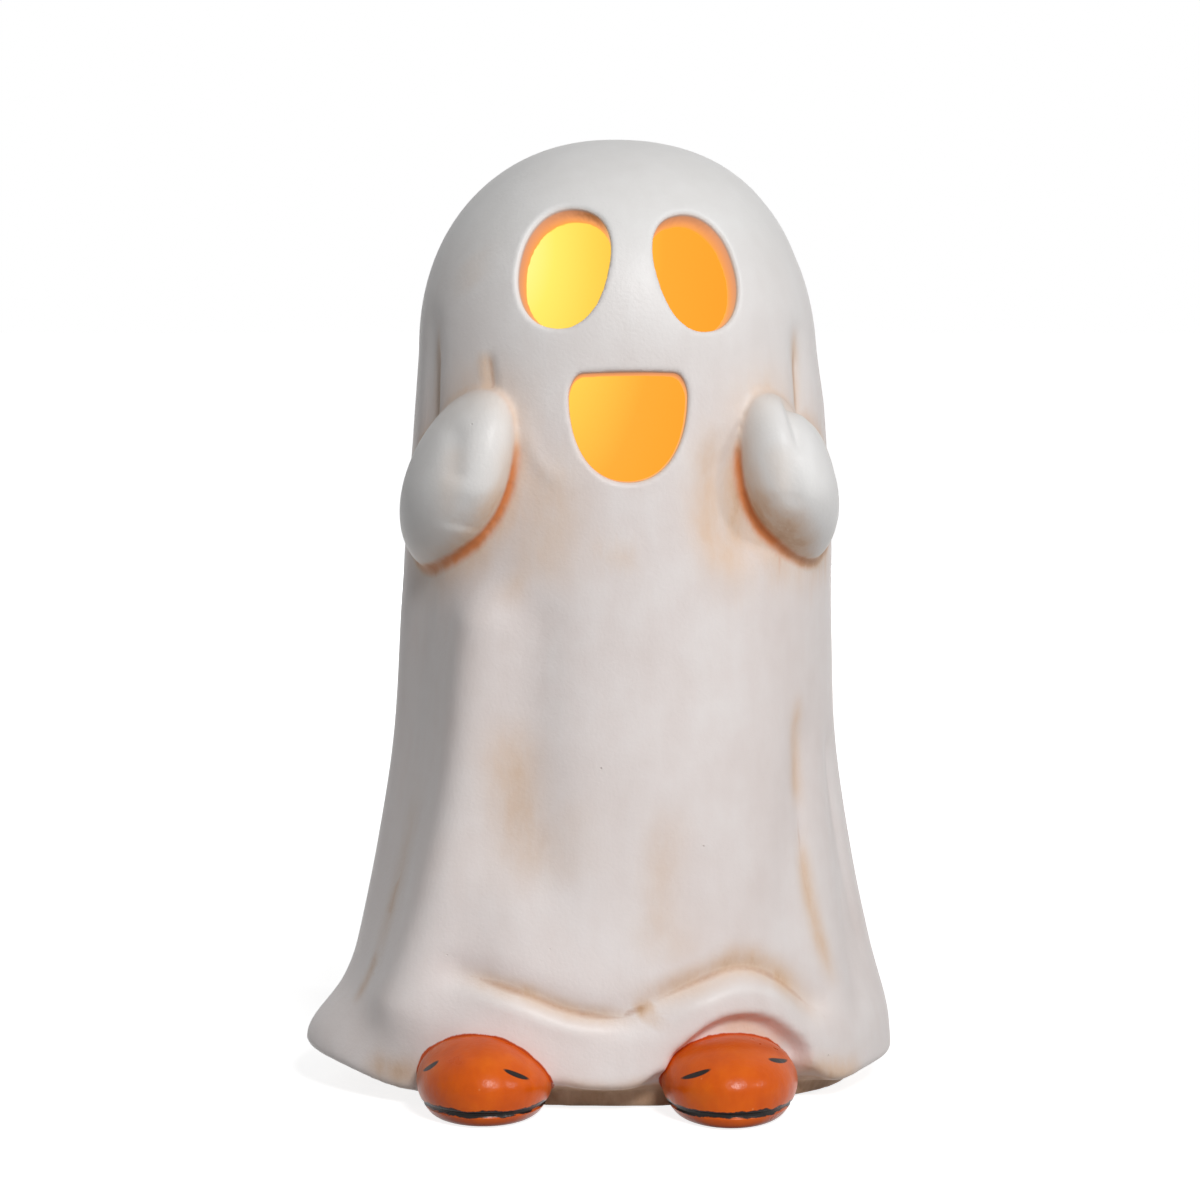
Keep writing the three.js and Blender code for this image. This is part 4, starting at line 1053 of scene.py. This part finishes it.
def pinholes_group():
    """Sparse pits that a casting and its paint leave: 1 in a pit and 0 elsewhere."""
    tree, given, result = new_group(
        "pinholes",
        [("Vector", VECTOR, None), ("Scale", FLOAT, 120.0), ("Size", FLOAT, 0.03), ("Share", FLOAT, 0.2)],
        [("Pit", FLOAT)],
    )
    cells = add(tree, "ShaderNodeTexVoronoi",
                {"Vector": given.outputs["Vector"], "Scale": given.outputs["Scale"]})
    drawn = add(tree, "ShaderNodeSeparateColor", {"Color": cells.outputs["Color"]})
    chance = sums(tree, "LESS_THAN", drawn.outputs["Red"], given.outputs["Share"])
    edge = times(tree, given.outputs["Size"], 0.4)
    links = {"Value": cells.outputs["Distance"], "From Min": edge, "From Max": given.outputs["Size"],
             "To Min": 1.0, "To Max": 0.0}
    spot = add(tree, "ShaderNodeMapRange", links).outputs["Result"]
    fill(tree, result, {"Pit": times(tree, spot, chance)})
    return tree


def moulded_grain_group():
    """Fine spark-eroded texture of a plastic moulding, with faint dust lying in it."""
    tree, given, result = new_group(
        "moulded grain",
        [("Vector", VECTOR, None), ("Scale", FLOAT, 2500.0)],
        [("Height", FLOAT), ("Dust", FLOAT)],
    )
    places = given.outputs["Vector"]
    fill(tree, result, {"Height": noise(tree, places, given.outputs["Scale"], 3, 0.6),
                        "Dust": between(tree, noise(tree, places, 90.0, 4, 0.65), 0.45, 0.75)})
    return tree


BRUSHED_PAINT = brushed_paint_group()
PINHOLES = pinholes_group()
MOULDED_GRAIN = moulded_grain_group()


def new_material(name, settings):
    material = bpy.data.materials.new(name)
    material.use_nodes = True
    tree = material.node_tree
    surface = tree.nodes["Principled BSDF"]
    fill(tree, surface, settings)
    return material, tree, surface


def bump(tree, surface, height, depth):
    made = add(tree, "ShaderNodeBump", {"Height": height, "Distance": depth, "Strength": 1.0})
    fill(tree, surface, {"Normal": made.outputs["Normal"]})


# Painted light: the lamp's warm glow painted as emission on the casting's inside, brightest behind the left
# eye
GLOW_CENTRE = AXIS + Vector((-20, 31, 160)) * MM
GLOW_REACH = 0.08
WALL_REACH = 5.0
GLOW_STOPS = (
    (0.05, 255, 253, 150),
    (0.16, 255, 238, 108),
    (0.3, 255, 216, 86),
    (0.44, 255, 194, 70),
    (0.56, 255, 172, 56),
    (0.75, 255, 165, 50),
    (1.0, 250, 154, 46),
)
WALL_STOPS = (
    (0.12, 0, 0, 0),
    (0.24, 216, 150, 112),
    (0.5, 236, 156, 98),
    (0.76, 250, 166, 76),
)


# Where the ghost's paint changes: heights and places across in metres, depths in millimetres
LOW_DOWN = (0.085, 0.03)
ON_LEFT = (0.03, 0.0)
ON_CROWN = (0.125, 0.165)
ON_HAND = (-0.5, -2.5)
ABOVE_FLOOR = (0.0085, 0.0095)
IN_WALL = (0.55, 1.2)
IN_CAVITY = (3.55, 3.85)


def white_paint(tree, places, depth, cover):
    """Off-white paint, warmer in the middle, cooler on crown and hands, with painted light low on the left.
    """
    warm = ramp(tree, cover, ((0.3, 222, 211, 207), (0.5, 228, 219, 216), (0.68, 233, 227, 225)))
    painted_light_colour = ramp(tree, cover, ((0.3, 240, 229, 225), (0.7, 248, 241, 239)))
    cool = ramp(tree, cover, ((0.3, 225, 223, 221), (0.7, 234, 233, 232)))
    axes = add(tree, "ShaderNodeSeparateXYZ", {"Vector": places})
    height = axes.outputs["Z"]
    # Painted light: lighter paint low on the left, where the lower front faces up towards the lamps
    low = times(tree, between(tree, height, *LOW_DOWN), between(tree, axes.outputs["X"], *ON_LEFT))
    white = mixed(tree, low, warm, painted_light_colour)
    cooler = sums(tree, "MAXIMUM", between(tree, depth, *ON_HAND), between(tree, height, *ON_CROWN))
    return mixed(tree, cooler, white, cool), height


def washes(tree, white, rubbed_stain_and_shade, ragged):
    """Brown stains and painted shade, brown lines, orange wash and shoe paint over the white, all with ragged
    edges.
    """
    tinted = mixed(tree, between(tree, rubbed_stain_and_shade, 0.0, 0.5), white, srgb(221, 190, 162))
    tinted = mixed(tree, between(tree, rubbed_stain_and_shade, 0.4, 1.0), tinted, srgb(166, 122, 88))
    line = times(tree, ragged, 1.4, attribute(tree, "line"))
    line = less(tree, between(tree, line, 0.75, 1.7))
    tinted = mixed(tree, times(tree, line, 0.66), tinted, srgb(180, 128, 90))
    rust = times(tree, attribute(tree, "rust"), times(tree, ragged, 0.9, 0.55))
    tinted = mixed(tree, between(tree, rust, 0.15, 0.9), tinted, srgb(206, 126, 76))
    from_shoe = times(tree, ragged, 1.2, attribute(tree, "spill"))
    run_over = less(tree, between(tree, from_shoe, 0.85, 1.05))
    return mixed(tree, run_over, tinted, srgb(194, 84, 38))


def painted_glow_inside(tree, places, depth, painted_cut_shade, inside):
    """Painted light: the lamp's warm light as emission on the cavity and cut walls, none inside the base's
    opening.
    """
    spread = moved(tree, places, location=tuple(-GLOW_CENTRE))
    spread = moved(tree, spread, scale=(1.5, 0.3, 0.75))
    glow = ramp(tree, sums(tree, "DIVIDE", length(tree, spread), GLOW_REACH), GLOW_STOPS)
    wall_glow = ramp(tree, sums(tree, "DIVIDE", depth, WALL_REACH), WALL_STOPS)
    # Painted shade on the cut walls' down-facing tops, over their painted glow
    wall_glow = mixed(tree, painted_cut_shade, wall_glow, srgb(130, 82, 46))
    lit = mixed(tree, between(tree, depth, *IN_CAVITY), wall_glow, glow)
    return mixed(tree, inside, (0, 0, 0, 1), lit)


def painted_ceramic():
    material, tree, surface = new_material("painted_ceramic", {"Emission Strength": 1.0,
                                                               "Specular IOR Level": 0.25})
    places = object_places(tree)
    depth = attribute(tree, "depth")
    painted_cut_shade = attribute(tree, "painted_cut_shade")
    brushed = use(tree, BRUSHED_PAINT, {"Vector": places})
    cover = brushed.outputs["Cover"]
    pit = use(tree, PINHOLES, {"Vector": places, "Scale": 210.0, "Size": 0.05, "Share": 0.1}).outputs["Pit"]
    white, height = white_paint(tree, places, depth, cover)
    ragged = noise(tree, moved(tree, places, scale=(1, 1, 0.45)), 230.0, 4, 0.62)
    # Stains and painted shade, rubbed on unevenly
    rubbed_stain_and_shade = times(tree, attribute(tree, "stain_and_shade"), times(tree, ragged, 1.5, 0.2))
    tinted = washes(tree, white, rubbed_stain_and_shade, ragged)
    tinted = mixed(tree, times(tree, pit, 0.2), tinted, srgb(140, 118, 102))
    # Painted shade on the cut walls' down-facing tops
    tinted = mixed(tree, times(tree, painted_cut_shade, 0.8), tinted, srgb(112, 74, 46))
    inside = times(tree, between(tree, depth, *IN_WALL), between(tree, height, *ABOVE_FLOOR))
    tinted = mixed(tree, inside, tinted, srgb(70, 40, 24))
    fill(tree, surface, {"Base Color": tinted,
                         "Emission Color": painted_glow_inside(tree, places, depth, painted_cut_shade, inside),
                         "Roughness": times(tree, rubbed_stain_and_shade, 0.2, times(tree, cover, 0.2, 0.3))})
    bump(tree, surface, times(tree, pit, -1.0, brushed.outputs["Height"]), 0.0001)
    return material


# Black band round a shoe over its sole, between two heights in metres, each with a soft edge
BAND_BOTTOM = (0.0018, 0.00195)
BAND_TOP = (0.0031, 0.0033)
BAND_WOBBLE = 0.002
# Heights on a shoe: where its upper part turns darker, and its sole
SHOE_UPPER = (0.012, 0.017)
SHOE_SOLE = (0.0, 0.002)


def black_marks(tree, places, height, strokes):
    wobble = noise(tree, places, 200.0, 4, 0.6)
    level = sums(tree, "SUBTRACT", height, BAND_WOBBLE / 2)
    level = times(tree, wobble, BAND_WOBBLE, level)
    black = times(tree, between(tree, level, *BAND_BOTTOM),
                 less(tree, between(tree, level, *BAND_TOP)))
    for across, up, half_length, half_width, turn in strokes:
        centred = moved(tree, places, location=(-across, 0, -up))
        turned = moved(tree, centred, rotation=(0, turn, 0), scale=(1, 0, 1))
        sized = moved(tree, turned, scale=(1 / half_length, 0, 1 / half_width))
        mark = less(tree, between(tree, length(tree, sized), 0.8, 1.0))
        black = sums(tree, "MAXIMUM", black, mark)
    return black


def shoe_paint(name, strokes):
    material, tree, surface = new_material(name, {"Specular IOR Level": 0.25})
    places = object_places(tree)
    brushed = use(tree, BRUSHED_PAINT, {"Vector": places, "Streaks": 420.0, "Patches": 110.0})
    stops = ((0.3, 206, 80, 0), (0.5, 221, 93, 3), (0.7, 231, 107, 10))
    colour = ramp(tree, brushed.outputs["Cover"], stops)
    height = add(tree, "ShaderNodeSeparateXYZ", {"Vector": places}).outputs["Z"]
    colour = mixed(tree, between(tree, height, *SHOE_UPPER), colour, srgb(208, 82, 4))
    colour = mixed(tree, less(tree, between(tree, height, *SHOE_SOLE)), colour, srgb(120, 48, 10))
    specks = use(tree, PINHOLES, {"Vector": places, "Scale": 320.0, "Size": 0.09, "Share": 0.06})
    colour = mixed(tree, times(tree, specks.outputs["Pit"], 0.6), colour, srgb(236, 150, 92))
    colour = mixed(tree, black_marks(tree, places, height, strokes), colour, srgb(26, 20, 18))
    rough = times(tree, brushed.outputs["Cover"], 0.2, 0.2)
    fill(tree, surface, {"Base Color": colour, "Roughness": rough})
    bump(tree, surface, brushed.outputs["Height"], 0.0001)
    return material


def grained(name, settings, vector_scale, grain, dusting, roughness, depth):
    """A material with a moulding's grain; dusting gives its colour, the dust's and how much there is."""
    material, tree, surface = new_material(name, settings)
    places = moved(tree, object_places(tree), scale=vector_scale)
    grain = use(tree, MOULDED_GRAIN, {"Vector": places, "Scale": grain})
    colour, dust_colour, share = dusting
    dusty = times(tree, grain.outputs["Dust"], share)
    fill(tree, surface, {"Base Color": mixed(tree, dusty, colour, dust_colour),
                         "Roughness": times(tree, grain.outputs["Dust"], 0.2, roughness)})
    bump(tree, surface, grain.outputs["Height"], depth)
    return material


def plastic(name, colour, roughness, grain, dust):
    dusting = (srgb(*colour), srgb(150, 146, 138), dust)
    return grained(name, {}, (1, 1, 1), grain, dusting, roughness, 0.00004)


def metal(name, colour, roughness):
    dusting = (srgb(*colour), srgb(140, 136, 130), 0.5)
    return grained(name, {"Metallic": 1.0}, (1, 6, 1), 900.0, dusting, roughness, 0.00002)


def lit_plastic(name, colour, glow, strength):
    material, tree, surface = new_material(name, {"Emission Strength": strength, "Roughness": 0.6})
    grain = use(tree, MOULDED_GRAIN, {"Vector": object_places(tree), "Scale": 1800.0})
    cloud = times(tree, grain.outputs["Dust"], 0.2)
    fill(tree, surface, {"Base Color": mixed(tree, cloud, srgb(*colour), srgb(214, 200, 170)),
                         "Emission Color": mixed(tree, cloud, srgb(*glow), srgb(255, 176, 80))})
    bump(tree, surface, grain.outputs["Height"], 0.00003)
    return material


# Each carried-over slot's plastic: name, colour, roughness, fineness of its grain and dust
PLASTICS = {
    "white_plastic": ("white_plastic", (226, 223, 214), 0.5, 2500.0, 0.25),
    "door_plastic": ("door_plastic", (219, 216, 206), 0.5, 2500.0, 0.25),
    "black_plastic": ("black_plastic", (34, 33, 34), 0.42, 2500.0, 0.12),
    "foam": ("foam_tape", (238, 236, 230), 0.9, 900.0, 0.1),
    "cell_sleeve": ("cell_sleeve", (36, 68, 120), 0.3, 900.0, 0.1),
    "circuit_green": ("board_green", (34, 104, 56), 0.38, 2500.0, 0.25),
    "red_wire": ("red_wire", (176, 36, 30), 0.35, 900.0, 0.05),
    "black_wire": ("black_wire", (30, 30, 32), 0.35, 900.0, 0.05),
    "component_beige": ("component_beige", (205, 180, 136), 0.4, 900.0, 0.1),
}
# Metal: name, colour and roughness
METALS = {
    "nickel": ("nickel_plate", (196, 194, 188), 0.28),
    "spring_steel": ("spring_wire", (168, 168, 170), 0.32),
}
# Plastic that glows: name, colour, colour of its light and how strong that is
LIT_PLASTICS = {
    "lamp_resin": ("lamp_resin", (255, 226, 160), (255, 206, 110), 2.0),
    "frosted_plastic": ("frosted_plastic", (246, 240, 226), (255, 190, 92), 1.0),
}


def carried_over_finishes():
    finishes = {}
    for made_of, table in ((plastic, PLASTICS), (metal, METALS), (lit_plastic, LIT_PLASTICS)):
        for slot, form in table.items():
            finishes[slot] = made_of(*form)
    for row in frame["record"]["subparts"]:
        finish = finishes.get(row["material_slot"])
        if finish is not None:
            node = frame["nodes"][row["node"]]
            node.data.materials.clear()
            node.data.materials.append(finish)


# Pieces of the ghost
INSIDE_BOX = 1e-6


def settle(piece, material, slot, *stands_for):
    """Scales a piece from millimetres on the ghost's axis to its place in the frame, inside the CAD box."""
    piece.data.transform(Matrix.Translation(AXIS) @ Matrix.Scale(MM, 4))
    low, high = (np.array(corner) for corner in cad_box)
    places = np.clip(at_vertices(piece.data, "co"), low + INSIDE_BOX, high - INSIDE_BOX)
    set_coordinates(piece.data, places)
    piece.data.materials.clear()
    piece.data.materials.append(material)
    piece.data.polygons.foreach_set("use_smooth", [True] * len(piece.data.polygons))
    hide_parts(*stands_for)
    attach(piece, "figure")


def brush_stroke(start, end, half_width):
    """A short stroke across a shoe's front: its middle, half its length and width, and its turn."""
    (x_a, z_a), (x_b, z_b) = start, end
    half_length = math.hypot(x_b - x_a, z_b - z_a) / 2 * MM
    turn = math.atan2(z_b - z_a, x_b - x_a)
    return (x_a + x_b) / 2 * MM + AXIS.x, (z_a + z_b) / 2 * MM, half_length, half_width * MM, turn


# Black strokes on each shoe: start, end and half-width, in millimetres from the axis
SHOE_STROKES = {
    "left": (((-35.6, 8.6), (-32.4, 11.2), 0.3), ((-20.6, 10.6), (-15.6, 8.2), 0.4)),
    "right": (((12.0, 8.2), (17.8, 10.6), 0.42), ((28.2, 11.6), (32.2, 10.2), 0.3)),
}

settle(ghost_sheet(), painted_ceramic(), "white_glaze", "ghost_shell", "left_arm", "right_arm")
for side, shoe_sizes in SHOES.items():
    shoe_strokes = [brush_stroke(*ends) for ends in SHOE_STROKES[side]]
    settle(object_from(f"shoe_{side}", shoe_shape(*shoe_sizes)),
           shoe_paint(f"{side}_shoe_paint", shoe_strokes), "orange_paint", f"{side}_shoe")
carried_over_finishes()


# Camera, lamps, floor and world
CAMERA_PLACE = Vector((-2.72, -895.07, 186.03)) * MM
CAMERA_LENS = 140.5
CAMERA_TILT = 84
CAMERA_SENSOR = 36
CAMERA_NEAREST = 0.05
# Each lamp's place, what it aims at, how wide it is in metres and its power in watts
LAMPS = {
    "key_lamp": ((0.28, -0.93, 0.72), (0, 0, 0.09), 0.3, 8.7),
    "side_lamp": ((1.0, -0.54, 0.6), (0, 0, 0.09), 0.1, 2.1),
    "back_lamp": ((0.15, 1.0, 0.12), (0, 0, 0.07), 0.4, 4.4),
}
FLOOR_GAP = 0.0003
# The floor's own light, which is seen but lights nothing: how much at the figure, how much more
# further out, and between which distances that sets in
FLOOR_AT_FIGURE = 0.85
FLOOR_GAIN = 0.15
FLOOR_REACH = (0.1, 0.3)
# The world's light on things, and what it has more where it is seen
WORLD_LIGHT = 0.12
WORLD_SEEN = 0.88


def placed(name, data, place, rotation):
    made = bpy.data.objects.new(name, data)
    made.location = place
    made.rotation_euler = rotation
    scene.collection.objects.link(made)
    return made


def studio():
    camera = bpy.data.cameras.new("camera")
    camera.lens = CAMERA_LENS
    camera.sensor_width = CAMERA_SENSOR
    camera.clip_start = CAMERA_NEAREST
    scene.camera = placed("camera", camera, AXIS + CAMERA_PLACE, (math.radians(CAMERA_TILT), 0, 0))
    for name, (place, aim, size, power) in LAMPS.items():
        lamp = bpy.data.lights.new(name, "AREA")
        lamp.shape = "DISK"
        lamp.size = size
        lamp.energy = power
        towards = (Vector(aim) - Vector(place)).to_track_quat("-Z", "Y").to_euler()
        made = placed(name, lamp, place, towards)
        made.visible_glossy = name != "back_lamp"


def empty_tree(owner):
    owner.use_nodes = True
    owner.node_tree.nodes.clear()
    return owner.node_tree


def seen_plainly(tree):
    """1 for what the camera sees, straight, mirrored or through something clear, and 0 for light."""
    rays = tree.nodes.new("ShaderNodeLightPath")
    seen = sums(tree, "MAXIMUM", rays.outputs["Is Camera Ray"], rays.outputs["Is Glossy Ray"])
    return sums(tree, "MAXIMUM", seen, rays.outputs["Is Transmission Ray"])


def pale_floor():
    """A floor that looks white, keeps the shadow and can't be seen from below."""
    shape = bmesh.new()
    bmesh.ops.create_grid(shape, x_segments=1, y_segments=1, size=3)
    bmesh.ops.translate(shape, verts=shape.verts, vec=(0, 0, -FLOOR_GAP))
    floor = object_from("floor", shape)
    material = bpy.data.materials.new("floor_white")
    tree = empty_tree(material)
    diffuse = add(tree, "ShaderNodeBsdfDiffuse", {"Color": (0.5, 0.5, 0.5, 1)})
    away = length(tree, object_places(tree))
    level = times(tree, between(tree, away, *FLOOR_REACH), FLOOR_GAIN, FLOOR_AT_FIGURE)
    lift = add(tree, "ShaderNodeEmission", {"Strength": times(tree, seen_plainly(tree), level)})
    both = add(tree, "ShaderNodeAddShader", {0: diffuse.outputs[0], 1: lift.outputs[0]})
    clear = tree.nodes.new("ShaderNodeBsdfTransparent")
    below = tree.nodes.new("ShaderNodeNewGeometry").outputs["Backfacing"]
    shown = add(tree, "ShaderNodeMixShader", {0: below, 1: both.outputs[0], 2: clear.outputs[0]})
    add(tree, "ShaderNodeOutputMaterial", {"Surface": shown.outputs[0]})
    floor.data.materials.append(material)


def white_world():
    world = bpy.data.worlds.new("studio")
    scene.world = world
    tree = empty_tree(world)
    strength = times(tree, seen_plainly(tree), WORLD_SEEN, WORLD_LIGHT)
    shade = add(tree, "ShaderNodeBackground", {"Color": (1, 1, 1, 1), "Strength": strength})
    add(tree, "ShaderNodeOutputWorld", {"Surface": shade.outputs[0]})


studio()
pale_floor()
white_world()
scene.view_settings.view_transform = "Standard"
